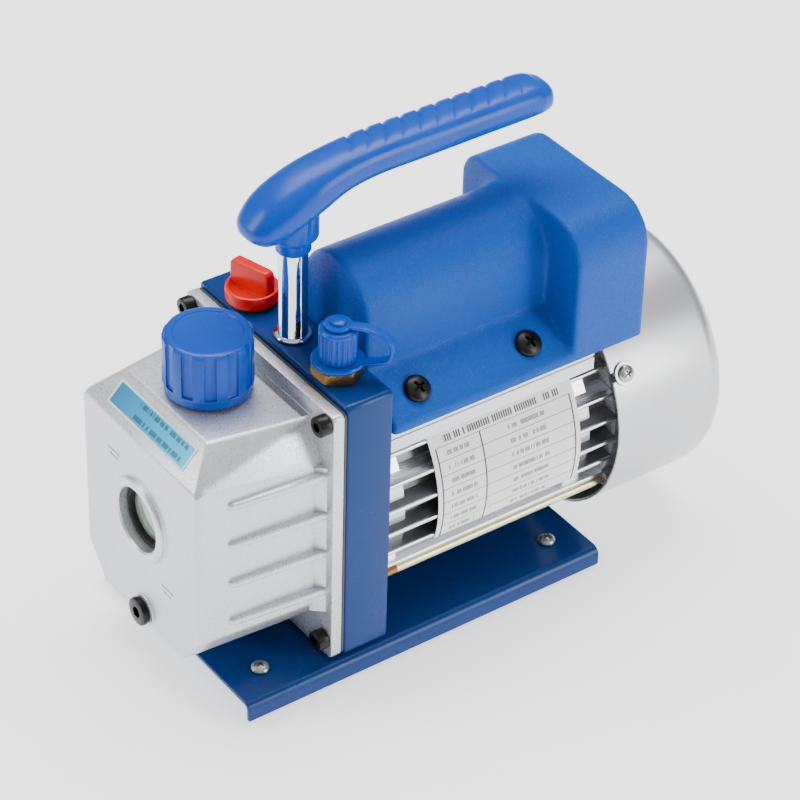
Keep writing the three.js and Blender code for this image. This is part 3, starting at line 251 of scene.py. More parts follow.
def brightAluminium():
    # extruded aluminium: faint drawing lines along the motor
    look = dict(color=(232, 233, 236), deep=(196, 198, 203), roughness=0.34)
    finish = Finish('brightAluminium')
    lines = finish.noise(1, 3, stretch=(900, 14, 900))
    drift = finish.noise(35, 3)
    finish.set(Base_Color=finish.mix(lines * 0.5 + drift * 0.5, rgba(*look['deep']), rgba(*look['color'])))
    finish.set(Metallic=0.92, Roughness=look['roughness'] - 0.06 + (lines - 0.5) * 0.25)
    return finish.bump(lines, 0.1, 0.2)


def silverPaint():
    look = dict(color=(206, 207, 210), deep=(190, 191, 195), roughness=0.36)
    finish = Finish('silverPaint')
    flakes = finish.node('ShaderNodeTexVoronoi', None, {'Vector': finish.coords, 'Scale': 3000}, out=1)
    glint = finish.node('ShaderNodeSeparateXYZ', None, {0: flakes})
    drift = finish.noise(22, 3)
    finish.set(Base_Color=finish.mix(drift * 0.6 + glint * 0.4, rgba(*look['deep']), rgba(*look['color'])))
    finish.set(Metallic=0.85, Roughness=look['roughness'] + (glint - 0.5) * 0.14, Coat_Weight=0.25,
               Coat_Roughness=0.15)
    return finish.bump(finish.noise(480, 2), 0.08, 0.2)


def plainMetal(name, color, deep, roughness, spread=0.2, scale=120, bump=0.1):
    finish = Finish(name)
    drift = finish.noise(scale, 4, 0.6)
    finish.set(Base_Color=finish.mix(drift, rgba(*deep), rgba(*color)))
    finish.set(Metallic=1.0, Roughness=roughness + (drift - 0.5) * spread)
    return finish.bump(finish.noise(scale * 9, 2), bump, 0.12)


def threadedRod():
    # yellow-zinc rod, coppery and threaded at its front end
    pitch, threaded = 0.7, 9
    finish = Finish('threadedRod')
    along = finish.axis('Y')
    ridge = along.math('SINE', along * (2 * math.pi / (pitch * mm)))
    front = along < (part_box("motor_housing")[0].y + threaded * mm)
    tone = finish.mix(finish.noise(150, 3), rgba(196, 188, 150), rgba(226, 220, 186))
    finish.set(Base_Color=finish.mix(front, tone, rgba(188, 132, 74)))
    finish.set(Metallic=1.0, Roughness=0.3 + finish.noise(90, 2) * 0.15)
    return finish.bump(ridge * front, 0.5, 0.25)


def matteBlack(name, color, roughness, scale=300, bump=0.15):
    finish = Finish(name)
    drift = finish.noise(scale * 0.3, 3)
    deep = tuple(value * 0.7 for value in color)
    finish.set(Base_Color=finish.mix(drift, rgba(*deep), rgba(*color)))
    finish.set(Roughness=roughness + (drift - 0.5) * 0.2)
    return finish.bump(finish.noise(scale * 3, 3), bump, 0.2)


def blackOxide():
    finish = Finish('blackOxide')
    drift = finish.noise(220, 4)
    finish.set(Base_Color=finish.mix(drift, rgba(20, 20, 21), rgba(52, 51, 50)))
    finish.set(Metallic=0.8, Roughness=0.34 + (drift - 0.5) * 0.2)
    return finish.bump(finish.noise(1200, 2), 0.1, 0.12)


def sightGlass():
    # clear glass over pale oil, seen as one grey-green disc
    finish = Finish('sightGlass')
    drift = finish.noise(60, 2)
    finish.set(Base_Color=finish.mix(drift, rgba(70, 84, 78), rgba(168, 184, 172)))
    finish.set(Roughness=0.04 + drift * 0.06, Coat_Weight=1.0, Coat_Roughness=0.02)
    return finish.bump(finish.noise(40, 1), 0.05, 0.3)


def wound():
    finish = Finish('copperWire')
    strands = finish.noise(1, 2, stretch=(300, 2200, 300))
    finish.set(Base_Color=finish.mix(strands, rgba(120, 62, 26), rgba(206, 128, 66)))
    finish.set(Metallic=0.8, Roughness=0.3 + strands * 0.2)
    return finish.bump(strands, 0.5, 0.3)


def makeFinishes():
    finishes.update(
        bluePaint=bluePaint(), bluePlastic=bluePlastic(), grainedPlastic=grainedPlastic(),
        redPlastic=redPlastic(), castSilver=castSilver(), brightAluminium=brightAluminium(),
        silverPaint=silverPaint(), threadedRod=threadedRod(), blackOxide=blackOxide(),
        sightGlass=sightGlass(), copperWire=wound(),
        brass=plainMetal('brass', (216, 170, 92), (176, 126, 56), 0.24),
        chrome=plainMetal('chrome', (236, 238, 242), (222, 225, 230), 0.05, 0.04, 40, 0.02),
        zincSteel=plainMetal('zincSteel', (206, 206, 204), (150, 150, 150), 0.3),
        # dark iron for the stator core, also used as painted shade in the motor's fin valleys
        darkIron=plainMetal('darkIron', (146, 148, 152), (104, 106, 110), 0.5),
        blackPlastic=matteBlack('blackPlastic', (30, 30, 32), 0.42),
        rubber=matteBlack('rubber', (26, 26, 26), 0.75, 500, 0.3),
        sealing=matteBlack('sealing', (74, 74, 76), 0.6),
    )


makeFinishes()
print("finishes made:", len(finishes))


def span(node):
    # a CAD node's box in millimetres
    low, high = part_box(node)
    middle = (low + high) / 2
    return SimpleNamespace(x0=low.x / mm, x1=high.x / mm, y0=low.y / mm, y1=high.y / mm, z0=low.z / mm,
                           z1=high.z / mm, x=middle.x / mm, y=middle.y / mm, z=middle.z / mm)


axisVectors = {'x': Vector((1, 0, 0)), 'y': Vector((0, 1, 0)), 'z': Vector((0, 0, 1))}


def onPlane(axis, first, second, along):
    # a point from its two places across the axis and its place along it
    return {'x': (along, first, second), 'y': (first, along, second), 'z': (first, second, along)}[axis]


def tidy(bm, distance=0.002):
    bmesh.ops.remove_doubles(bm, verts=bm.verts, dist=distance)
    bmesh.ops.recalc_face_normals(bm, faces=bm.faces)
    return bm


def turned(points, axis='z', centre=(0, 0), steps=64):
    # spins (radius, height) points into a closed solid
    bm = bmesh.new()
    verts = []
    for radius, height in points:
        verts.append(bm.verts.new(onPlane(axis, centre[0] + radius, centre[1], height)))
    edges = [bm.edges.new(pair) for pair in zip(verts, verts[1:])]
    if points[0][0] > 0:  # a ring: its outline is closed too
        edges.append(bm.edges.new((verts[-1], verts[0])))
    bmesh.ops.spin(bm, geom=verts + edges, axis=axisVectors[axis], cent=onPlane(axis, *centre, 0),
                   angle=2 * math.pi, steps=steps, use_merge=True)
    return tidy(bm)


def slab(points, axis, start, end):
    # thickens a flat outline along an axis
    bm = bmesh.new()
    face = bm.faces.new([bm.verts.new(onPlane(axis, *point, start)) for point in points])
    made = bmesh.ops.extrude_face_region(bm, geom=[face])
    raised = [item for item in made['geom'] if isinstance(item, bmesh.types.BMVert)]
    bmesh.ops.translate(bm, vec=axisVectors[axis] * (end - start), verts=raised)
    return tidy(bm)


def block(x0, x1, y0, y1, z0, z1):
    bm = bmesh.new()
    bmesh.ops.create_cube(bm, size=1)
    bmesh.ops.scale(bm, vec=(x1 - x0, y1 - y0, z1 - z0), verts=bm.verts)
    bmesh.ops.translate(bm, vec=((x0 + x1) / 2, (y0 + y1) / 2, (z0 + z1) / 2), verts=bm.verts)
    return bm


def hull(points):
    bm = bmesh.new()
    verts = [bm.verts.new(point) for point in points]
    made = bmesh.ops.convex_hull(bm, input=verts)
    spare = [item for item in made['geom_interior'] if isinstance(item, bmesh.types.BMVert)]
    bmesh.ops.delete(bm, geom=spare, context='VERTS')
    bmesh.ops.dissolve_limit(bm, angle_limit=math.radians(1), verts=bm.verts, edges=bm.edges)
    return tidy(bm)


def arc(x, z, radius, start, end, steps=8):
    places = [math.radians(start + (end - start) * i / steps) for i in range(steps + 1)]
    return [(x + radius * math.cos(place), z + radius * math.sin(place)) for place in places]


def roundedBox(x0, x1, z0, z1, corner, steps=6):
    return (arc(x1 - corner, z0 + corner, corner, -90, 0, steps) + arc(x1 - corner, z1 - corner, corner, 0, 90, steps)
            + arc(x0 + corner, z1 - corner, corner, 90, 180, steps)
            + arc(x0 + corner, z0 + corner, corner, 180, 270, steps))


def hexagon(flats, x, z):
    return arc(x, z, flats / math.sqrt(3), 0, 300, 5)


def soften(bm, width, segments=3, sharperThan=30, keep=None):
    # bevels the edges that turn more than the given angle
    edges = [edge for edge in bm.edges if edge.is_manifold and edge.calc_face_angle(0) > math.radians(sharperThan)]
    if keep:
        edges = [edge for edge in edges if keep((edge.verts[0].co + edge.verts[1].co) / 2)]
    bmesh.ops.bevel(bm, geom=edges, offset=width, offset_type='OFFSET', segments=segments, profile=0.5,
                    affect='EDGES', material=-1, clamp_overlap=True)
    return tidy(bm)


def moved(bm, vec=(0, 0, 0), turn=0, axis='z', centre=(0, 0, 0)):
    if turn:
        bmesh.ops.rotate(bm, cent=centre, matrix=Matrix.Rotation(math.radians(turn), 3, axis.upper()),
                         verts=bm.verts)
    bmesh.ops.translate(bm, vec=vec, verts=bm.verts)
    return bm


def looseObject(bm, name='work'):
    mesh = bpy.data.meshes.new(name)
    bm.to_mesh(mesh)
    bm.free()
    made = bpy.data.objects.new(name, mesh)
    bpy.context.scene.collection.objects.link(made)
    return made


def evaluated(made):
    # the object's mesh with its modifiers applied, as a new bmesh; the object is removed
    bpy.context.view_layer.update()
    shown = made.evaluated_get(bpy.context.evaluated_depsgraph_get())
    bm = bmesh.new()
    bm.from_mesh(shown.to_mesh())
    shown.to_mesh_clear()
    mesh = made.data
    bpy.data.objects.remove(made)
    bpy.data.meshes.remove(mesh)
    return bm


def combine(base, others, operation):
    made = looseObject(base)
    tools = [looseObject(other, 'tool') for other in others]
    for tool in tools:
        modifier = made.modifiers.new('combine', 'BOOLEAN')
        modifier.object = tool
        modifier.operation = operation
        modifier.solver = 'EXACT'
    bm = evaluated(made)
    for tool in tools:
        mesh = tool.data
        bpy.data.objects.remove(tool)
        bpy.data.meshes.remove(mesh)
    return tidy(bm)


def joined(base, *others):
    return combine(base, others, 'UNION')


def cutBy(base, *others):
    return combine(base, others, 'DIFFERENCE')


def together(*forms):
    # separate closed forms in one mesh, where they don't touch
    whole = forms[0]
    for form in forms[1:]:
        mesh = bpy.data.meshes.new('work')
        form.to_mesh(mesh)
        form.free()
        whole.from_mesh(mesh)
        bpy.data.meshes.remove(mesh)
    return whole


def piece(name, bm, finish, body='root', stands=(), smooth=38, edge=0, bend=None):
    # a finished piece: scaled to metres, shaded, painted, and riding on its body
    bmesh.ops.scale(bm, vec=(mm, mm, mm), verts=bm.verts)
    made = looseObject(bm, name)
    for polygon in made.data.polygons:
        polygon.use_smooth = True
    made.data.set_sharp_from_angle(angle=math.radians(smooth))
    made.data.materials.append(finishes[finish].material)
    if edge:
        rounding = made.modifiers.new('edges', 'BEVEL')
        rounding.width = edge * mm
        rounding.segments = 2
        rounding.limit_method = 'ANGLE'
        rounding.angle_limit = math.radians(40)
    if bend:
        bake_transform(made)
    else:
        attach(made, body)
    if stands:
        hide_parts(*stands)
    return made


cameraView = dict(azimuth=53.43, elevation=36.65, roll=1.67, lens=142.95, place=(873.65, -648.68, 893.91))


def setCamera():
    azimuth, elevation, roll = (math.radians(cameraView[key]) for key in ('azimuth', 'elevation', 'roll'))
    back = Vector((math.sin(azimuth) * math.cos(elevation), -math.cos(azimuth) * math.cos(elevation),
                   math.sin(elevation)))
    across = Vector((math.cos(azimuth), math.sin(azimuth), 0))
    up = back.cross(across)
    right = math.cos(roll) * across + math.sin(roll) * up
    top = -math.sin(roll) * across + math.cos(roll) * up
    turn = Matrix((right, top, back)).transposed().to_4x4()
    camera = bpy.data.cameras.new('camera')
    camera.lens = cameraView['lens']
    camera.sensor_width = 36
    camera.clip_end = 20
    made = bpy.data.objects.new('camera', camera)
    bpy.context.scene.collection.objects.link(made)
    made.matrix_world = Matrix.Translation(Vector(cameraView['place']) * mm) @ turn
    bpy.context.scene.camera = made


setCamera()


def areaLight(name, place, aim, size, power, color=(1, 1, 1)):
    light = bpy.data.lights.new(name, 'AREA')
    light.shape = 'RECTANGLE'
    light.size, light.size_y = size
    light.energy = power
    light.color = color
    made = bpy.data.objects.new(name, light)
    bpy.context.scene.collection.objects.link(made)
    direction = Vector(aim) - Vector(place)
    made.matrix_world = Matrix.Translation(place) @ direction.to_track_quat('-Z', 'Y').to_matrix().to_4x4()


def setLight():
    areaLight('overhead', (-0.35, 0.25, 1.4), (0, 0, 0.1), (1.3, 0.7), 24)
    areaLight('frontLeft', (-0.75, -1.35, 0.85), (0, 0, 0.1), (0.5, 1.0), 12)
    areaLight('rightSide', (1.35, 0.75, 0.55), (0, 0, 0.1), (0.45, 0.9), 15)
    world = bpy.data.worlds.new('room')
    world.use_nodes = True
    tree = world.node_tree
    coords = tree.nodes.new('ShaderNodeTexCoord')
    parts = tree.nodes.new('ShaderNodeSeparateXYZ')
    ramp = tree.nodes.new('ShaderNodeValToRGB')
    stops = [(0, (0.9, 0.9, 0.9)), (0.5, (0.62, 0.63, 0.65)), (0.56, (0.14, 0.15, 0.16)), (0.75, (0.5, 0.51, 0.53)),
             (1, (1, 1, 1))]
    while len(ramp.color_ramp.elements) < len(stops):
        ramp.color_ramp.elements.new(0.5)
    for element, (place, color) in zip(ramp.color_ramp.elements, stops):
        element.position = place
        element.color = (*color, 1)
    height = tree.nodes.new('ShaderNodeMapRange')
    height.inputs['From Min'].default_value = -1
    tree.links.new(coords.outputs['Generated'], parts.inputs[0])
    tree.links.new(parts.outputs[2], height.inputs['Value'])
    tree.links.new(height.outputs[0], ramp.inputs[0])
    tree.links.new(ramp.outputs[0], tree.nodes['Background'].inputs[0])
    tree.nodes['Background'].inputs[1].default_value = 0.9
    bpy.context.scene.world = world


setLight()


def layFloor():
    bm = bmesh.new()
    bmesh.ops.create_grid(bm, x_segments=1, y_segments=1, size=4000)
    bmesh.ops.scale(bm, vec=(mm, mm, mm), verts=bm.verts)
    floor = looseObject(bm, 'floor')
    finish = Finish('floor')
    finish.set(Base_Color=finish.mix(finish.noise(3, 2), (0.9, 0.9, 0.9, 1), (0.93, 0.93, 0.93, 1)), Roughness=0.6,
               Emission_Color=(1, 1, 1, 1), Emission_Strength=1.1)
    floor.data.materials.append(finish.material)


layFloor()
print("camera, light and floor set")

def aimed(bm, place, direction):
    # turns a form drawn along +z to a direction, and moves it there
    turn = Vector((0, 0, 1)).rotation_difference(Vector(direction)).to_matrix()
    bmesh.ops.rotate(bm, cent=(0, 0, 0), matrix=turn, verts=bm.verts)
    bmesh.ops.translate(bm, vec=place, verts=bm.verts)
    return bm


def crossHead(radius, height, shank=1.5, steps=40):
    # a domed screw head with a cross recess, seated on z = 0
    size = dict(rim=0.3, stem=0.45, arm=0.52, blade=0.11, floor=0.35, turns=(20, 110))
    rise = 1 - size['rim']
    dome = [(radius * math.cos(math.radians(a)), height * (size['rim'] + rise * math.sin(math.radians(a))))
            for a in (0, 18, 36, 54, 70, 80)]
    stem, arm, wide, low = (radius * size['stem'], radius * size['arm'], radius * size['blade'],
                            height * size['floor'])
    head = turned([(0, -shank), (stem, -shank), (stem, 0), (radius - 0.2, 0), (radius, 0.2)] + dome + [(0, height)],
                  steps=steps)
    blades = []
    for turn in size['turns']:
        blade = hull([(x * s, y * s, z) for x in (-arm, arm) for y in (-wide, wide)
                      for s, z in ((1.05, height + 0.4), (0.62, low))])
        blades.append(moved(blade, turn=turn))
    return cutBy(head, *blades)


def socketHead(radius, height, flats, shank=1.5):
    head = turned([(0, -shank), (radius * 0.5, -shank), (radius * 0.5, 0), (radius - 0.35, 0), (radius, 0.35),
                   (radius, height - 0.7), (radius - 0.25, height - 0.2), (radius - 0.7, height), (0, height)],
                  steps=48)
    return cutBy(head, slab(hexagon(flats, 0, 0), 'z', height * 0.35, height + 1))


def basePlate():
    size = dict(sheet=2, bend=4, edge=0.35)
    at = span('base_plate')
    sheet, bend = size['sheet'], size['bend']
    left, right, high = at.x0 + bend, at.x1 - bend, at.z1 - bend
    outline = ([(at.x0, at.z0)] + arc(left, high, bend, 180, 90) + arc(right, high, bend, 90, 0)
               + [(at.x1, at.z0), (at.x1 - sheet, at.z0)] + arc(right, high, bend - sheet, 0, 90)
               + arc(left, high, bend - sheet, 90, 180) + [(at.x0 + sheet, at.z0)])
    piece('plate', slab(outline, 'y', at.y0, at.y1), 'bluePaint', stands=['base_plate'],
          edge=size['edge'])


def footPieces():
    size = dict(hole=4.6, holeTop=4.5, bore=2.3, low=8.1, high=10, screw=4, screwHeight=2.6, screwGap=0.3)
    hole, low, high, bore = size['hole'], size['low'], size['high'], size['bore']
    for i in range(1, 5):
        at = span(f'rubber_foot_{i}')
        foot = turned([(hole, 0.3), (hole + 0.4, 0), (low, 0), (low + 0.5, 0.5), (high, at.z1 - 0.5),
                       (high - 0.4, at.z1), (bore, at.z1), (bore, size['holeTop']), (hole, size['holeTop'])],
                      centre=(at.x, at.y), steps=48)
        piece(f'foot{i}', foot, 'rubber', stands=[f'rubber_foot_{i}'])
        seat = span('base_plate').z1 + size['screwGap']
        head = moved(crossHead(size['screw'], size['screwHeight'], shank=8), (at.x, at.y, seat))
        piece(f'footScrew{i}', head, 'zincSteel', stands=[f'foot_screw_{i}'])


basePlate()
footPieces()
print("plate and feet made")

caseSize = dict(
    depth=63.2, flangeDepth=5.2, flangeHalf=54.35, flangeLow=12.6, flangeTop=138.35, flangeCorner=2.4,
    low=24, top=130.5, frontHalf=43, backHalf=47, chamfer=(12.5, 15.7), rounding=1.4,
    glassHeight=78, drainHeight=29.6, ribCount=4, ribLow=47.2, ribPitch=19.9, ribHalf=1.75, ribNose=13.5,
    markOff=19.5, markHeights=(100.5, 53.5), beadLow=36, beadTop=111, grooveHalf=37)
front = span('oil_case').y1 - caseSize['depth']  # the case's front face
flangeFront = front + caseSize['depth'] - caseSize['flangeDepth']


def caseBlank():
    # the drafted box of the case, without its flange
    low, top, back = caseSize['low'], caseSize['top'], flangeFront + 1
    inward, upward = caseSize['chamfer']
    points = []
    for y, half, edge in ((front, caseSize['frontHalf'], 117), (back, caseSize['backHalf'], 109)):
        points += [(half, y, edge), (half, y, low + upward), (half - inward, y, low)]
    points += [(30.3, front + 13.5, top), (38.6, back, top)]
    return hull(points + [(-x, y, z) for x, y, z in points])


def caseRib(side, z):
    # a bullet-nosed rib that grows out of the drafted side towards the flange
    nose, half, steps = front + caseSize['ribNose'], caseSize['ribHalf'], 8
    rings = []
    for k in range(steps + 1):
        share = k / steps
        growth = math.sin(math.pi / 2 * share) ** 0.7
        rings.append((nose + 3.4 * share, 42.8 + 3.6 * growth, half * (0.4 + 0.6 * growth)))
    rings.append((flangeFront + 1, 51, half))
    points = []
    for y, reach, thick in rings:
        points += [(side * (reach - 1 + math.cos(math.radians(a))), y, z + thick * math.sin(math.radians(a)))
                   for a in (-90, -60, -30, 0, 30, 60, 90)]
        points += [(side * 40, y, z - thick), (side * 40, y, z + thick)]
    return hull(points)


def raisedMarks():
    # plain level marks either side of the sight glass
    marks = []
    for x, z in zip((-caseSize['markOff'], caseSize['markOff']), caseSize['markHeights']):
        for wide, drop in ((9, 0), (6, -2.6)):
            outline = roundedBox(x - wide / 2, x + wide / 2, z + drop - 0.45, z + drop + 0.45, 0.4, 3)
            marks.append(slab(outline, 'y', front - 0.35, front + 1))
    return marks


def oilCase():
    back, glass, drain = front + caseSize['depth'], (0, caseSize['glassHeight']), (0, caseSize['drainHeight'])
    half, low, top = caseSize['flangeHalf'], caseSize['flangeLow'], caseSize['flangeTop']
    blank = soften(caseBlank(), caseSize['rounding'], 4, 12)
    flange = soften(slab(roundedBox(-half, half, low, top, caseSize['flangeCorner'], 5), 'y', flangeFront, back),
                    0.5, 2, 50)
    rim = turned([(10, front + 9), (10, front - 1), (14.5, front - 1.2), (15.3, front - 2), (18.2, front - 2),
                  (19, front - 1.4), (19.3, front - 0.3), (20.2, front + 0.3), (20.2, front + 9)], 'y', glass, 96)
    boss = turned([(0, front + 8), (8.4, front + 8), (8.4, front + 0.2), (7.8, front - 0.25), (0, front - 0.25)],
                  'y', drain, 64)
    bead = ((45.5, flangeFront + 0.5), (50.4, flangeFront + 0.5), (47.2, flangeFront - 3.4), (45.5, flangeFront - 5))
    beads = [hull([(side * x, y, z) for z in (caseSize['beadLow'], caseSize['beadTop']) for x, y in bead])
             for side in (-1, 1)]
    ribs = [caseRib(side, caseSize['ribLow'] + caseSize['ribPitch'] * i)
            for side in (-1, 1) for i in range(caseSize['ribCount'])]
    body = joined(blank, flange, rim, boss, *beads, *ribs, *raisedMarks())
    window = turned([(0, front - 4), (14.5, front - 4), (14.5, front + 6.7), (12.1, front + 6.7), (12.1, front + 9.7),
                     (0, front + 9.7)], 'y', glass, 96)
    drainHole = turned([(0, front - 2), (4.9, front - 2), (4.9, front + 12), (0, front + 12)], 'y', drain, 48)
    groove = slab(roundedBox(-caseSize['grooveHalf'], caseSize['grooveHalf'], 127, 134, 1, 2), 'y',
                  flangeFront - 3.6, flangeFront - 0.4)
    piece('case', cutBy(body, window, drainHole, groove), 'castSilver', stands=['oil_case'],
          smooth=28, edge=0.3)
    gasket = slab(roundedBox(0.25 - half, half - 0.25, low + 0.3, top - 0.25, 2.2, 5), 'y', back + 0.3, back + 1.2)
    piece('caseGasket', gasket, 'sealing', stands=['oil_case_gasket'])


def caseFittings():
    size = dict(screw=4.5, screwHeight=5, screwFlats=4, sealBore=11.95, seal=14.2, lens=11.8, plug=6.4, plugHeight=2.4,
                plugFlats=5, stem=4.6)
    glass = (0, caseSize['glassHeight'])
    for i in range(1, 5):
        at = span(f'oil_case_screw_{i}')
        screw = aimed(socketHead(size['screw'], size['screwHeight'], size['screwFlats'], 12),
                      (at.x, at.y0 + size['screwHeight'], at.z), (0, -1, 0))
        piece(f'caseScrew{i}', screw, 'blackOxide', stands=[f'oil_case_screw_{i}'])
    bore, seal, lens = size['sealBore'], size['seal'], size['lens']
    ring = turned([(bore, front + 2.9), (bore + 0.25, front + 2.5), (seal - 0.3, front + 2.5), (seal, front + 2.8),
                   (seal, front + 6.4), (bore, front + 6.4)], 'y', glass, 80)
    piece('glassSeal', ring, 'rubber', stands=['sight_glass_seal'])
    disc = turned([(0, front + 3.6), (6, front + 3.75), (10, front + 4.1), (lens - 0.2, front + 4.6),
                   (lens, front + 5), (lens, front + 6.3), (0, front + 6.3)], 'y', glass, 80)
    piece('glassLens', disc, 'sightGlass', stands=['sight_glass'])
    at = span('drain_plug')
    head = aimed(socketHead(size['plug'], size['plugHeight'], size['plugFlats'], 0.2),
                 (at.x, at.y0 + size['plugHeight'], at.z), (0, -1, 0))
    start, stem = at.y0 + size['plugHeight'] - 0.1, size['stem']
    shank = turned([(0, start), (stem, start), (stem, at.y1 - 0.6), (stem - 0.6, at.y1), (0, at.y1)], 'y',
                   (at.x, at.z), 40)
    piece('plug', together(head, shank), 'blackOxide', 'drain_plug', ['drain_plug'])


def fillCap():
    size = dict(seat=132.1, neck=11.5, skirt=18.2, body=18.7, dish=0.5, flutes=12, fluteFloor=17.45, fluteHalf=2.5,
                fluteStart=5, edge=0.25)
    at = span('oil_cap')
    seat, top, skirt, radius = size['seat'], at.z1, size['skirt'], size['body']
    blank = turned([(0, at.z0), (size['neck'], at.z0), (size['neck'], seat), (skirt - 0.8, seat),
                    (skirt - 0.1, seat + 0.6), (skirt, seat + 3.4), (radius, seat + 4.1), (radius, top - 2.4),
                    (radius - 0.4, top - 1.1), (radius - 1.4, top - 0.3), (radius - 2.8, top), (radius - 4.1, top),
                    (radius - 4.6, top - size['dish']), (0, top - size['dish'])], centre=(at.x, at.y), steps=120)
    flutes = []
    for i in range(size['flutes']):
        cut = block(size['fluteFloor'], 21, -size['fluteHalf'], size['fluteHalf'], seat + size['fluteStart'], top + 1)
        cut = soften(cut, 0.7, 3, 60, lambda co: co.x < 19)
        flutes.append(moved(moved(cut, turn=360 / size['flutes'] * i), (at.x, at.y, 0)))
    piece('fillCap', cutBy(blank, *flutes), 'bluePlastic', 'oil_cap', ['oil_cap'], smooth=30,
          edge=size['edge'])


oilCase()
caseFittings()
fillCap()
print("oil case made")


def bracket():
    size = dict(corner=2.5, rounding=1.1)
    at = span('pump_bracket')
    body = slab(roundedBox(at.x0, at.x1, at.z0, at.z1, size['corner'], 6), 'y', at.y0, at.y1)
    piece('bracket', soften(body, size['rounding'], 3, 50), 'bluePaint', stands=['pump_bracket'])


def post():
    size = dict(radius=6.15, stem=4.5, collar=8, collarLow=141.1)
    at = span('handle_post')
    radius, stem, collar, low = size['radius'], size['stem'], size['collar'], size['collarLow']
    rod = turned([(0, at.z0), (stem, at.z0), (stem, low), (collar - 0.3, low), (collar, low + 0.3), (collar, low + 1),
                  (collar - 0.4, low + 1.4), (radius + 0.15, low + 1.5), (radius, low + 1.8), (radius, at.z1 - 0.4),
                  (radius - 0.35, at.z1), (0, at.z1)], centre=(at.x, at.y), steps=72)
    piece('post', rod, 'chrome', stands=['handle_post'])


def between(rows, place):
    # Catmull-Rom through rows of numbers; place runs from 0 to len(rows) - 1
    i = min(int(place), len(rows) - 2)
    t = place - i
    a, b, c, d = (rows[max(0, min(len(rows) - 1, i + k))] for k in (-1, 0, 1, 2))
    return [0.5 * (2 * q + (r - p) * t + (2 * p - 5 * q + 4 * r - s) * t * t + (3 * q - p - 3 * r + s) * t ** 3)
            for p, q, r, s in zip(a, b, c, d)]


def loft(rings):
    # a closed skin: the first ring is one face, extruded through the others
    bm = bmesh.new()
    place = bm.verts.layers.int.new('place')  # each point's place in its ring, which the extrusion copies
    verts = [bm.verts.new(point) for point in rings[0]]
    for k, vert in enumerate(verts):
        vert[place] = k
    face = bm.faces.new(verts)
    for ring in rings[1:]:
        made = bmesh.ops.extrude_face_region(bm, geom=[face, *face.edges])  # with its edges, no inner wall stays
        face = next(item for item in made['geom'] if isinstance(item, bmesh.types.BMFace))
        for vert in face.verts:
            vert.co = ring[vert[place]]
    bm.verts.layers.int.remove(place)
    return tidy(bm)


gripSize = dict(around=84, groovePitch=8.5, grooveStart=24, grooveEnd=112, grooveDepth=0.17, grooveSweep=8,
                squareness=0.8, boss=10.6, hole=6.45)
# y from the post, z from its top, half width, half height, lean
gripRows = [(125.4, 14.6, 1.5, 1, 0), (125.2, 14.5, 5.2, 3.6, 0), (123.4, 14.9, 8.2, 5.8, 0), (120, 15.3, 9.9, 7, 0),
            (113, 15.9, 10.8, 7.8, 0), (87, 15.8, 10.9, 7.8, 0), (61, 15.6, 11, 7.9, 1), (35, 15.3, 11, 7.9, 3),
            (19, 13.3, 11.4, 8.4, 12), (5, 9.1, 12.5, 9.6, 26), (-8, 3.5, 12.6, 9.6, 42), (-16.4, -2.3, 10.8, 7.6, 54),
            (-19.4, -5.5, 7, 4.8, 60), (-20, -6.1, 2, 1.2, 62)]


def unit(value):
    return min(1, max(0, value))


def grooveSink(y, across, up):
    # finger grooves: full depth over the far shoulder, sweeping forward to nothing on the near side
    side = unit((across + 0.85) / 1.5)
    inside = (unit((y - gripSize['grooveStart']) / 4) * unit((gripSize['grooveEnd'] - y) / 4)
              * unit((up + 0.35) / 0.5))
    wave = (y - 30 + gripSize['grooveSweep'] * side ** 1.6) / gripSize['groovePitch'] % 1
    notch = max(0, 1 - wave / 0.5 if wave > 0.07 else wave / 0.07)
    return 1 - gripSize['grooveDepth'] * inside * (1 - side) ** 0.6 * notch ** 1.3


def gripRing(place, at, stands):
    y, z, wide, high, lean = between(gripRows, place)
    lean, power = math.radians(lean), gripSize['squareness']
    ring = []
    for k in range(gripSize['around']):
        turn = 2 * math.pi * k / gripSize['around']
        across = math.copysign(abs(math.cos(turn)) ** power, math.cos(turn))
        up = math.copysign(abs(math.sin(turn)) ** power, math.sin(turn))
        sink = grooveSink(y, across, up)
        ring.append((at.x + wide * across * sink, stands.y + y - high * up * sink * math.sin(lean),
                     min(at.z1, stands.z1 + z + high * up * sink * math.cos(lean))))
    return ring


def grip():
    at, stands = span('handle_grip'), span('handle_post')
    # rings stand close together along the grooves
    places = [4 * i / 60 for i in range(60)] + [4 + 4 * i / 400 for i in range(400)]
    places += [8 + 5 * i / 90 for i in range(91)]
    skin = loft([gripRing(place, at, stands) for place in places])
    radius, top = gripSize['boss'], stands.z1
    boss = turned([(0, 207), (radius, 207), (radius - 0.1, 191.2), (10.2, 190.2), (9.4, 189.6), (8.2, 189.2),
                   (7.6, 188.4), (7.4, 187.4), (7.4, 183.6), (7, 183), (0, 183)], centre=(stands.x, stands.y), steps=64)
    hole = turned([(0, 180), (gripSize['hole'], 180), (gripSize['hole'], top + 0.3), (0, top + 0.3)],
                  centre=(stands.x, stands.y), steps=48)
    piece('grip', cutBy(joined(skin, boss), hole), 'bluePlastic', stands=['handle_grip'],
          smooth=42)


def ribbed(radius, depth, count, z0, z1, centre):
    ring = []
    for k in range(count * 8):
        turn = 2 * math.pi * k / (count * 8)
        far = radius - depth * (0.5 - 0.5 * math.tanh(3 * math.cos(count * turn)))
        ring.append((centre[0] + far * math.cos(turn), centre[1] + far * math.sin(turn)))
    return slab(ring, 'z', z0, z1)


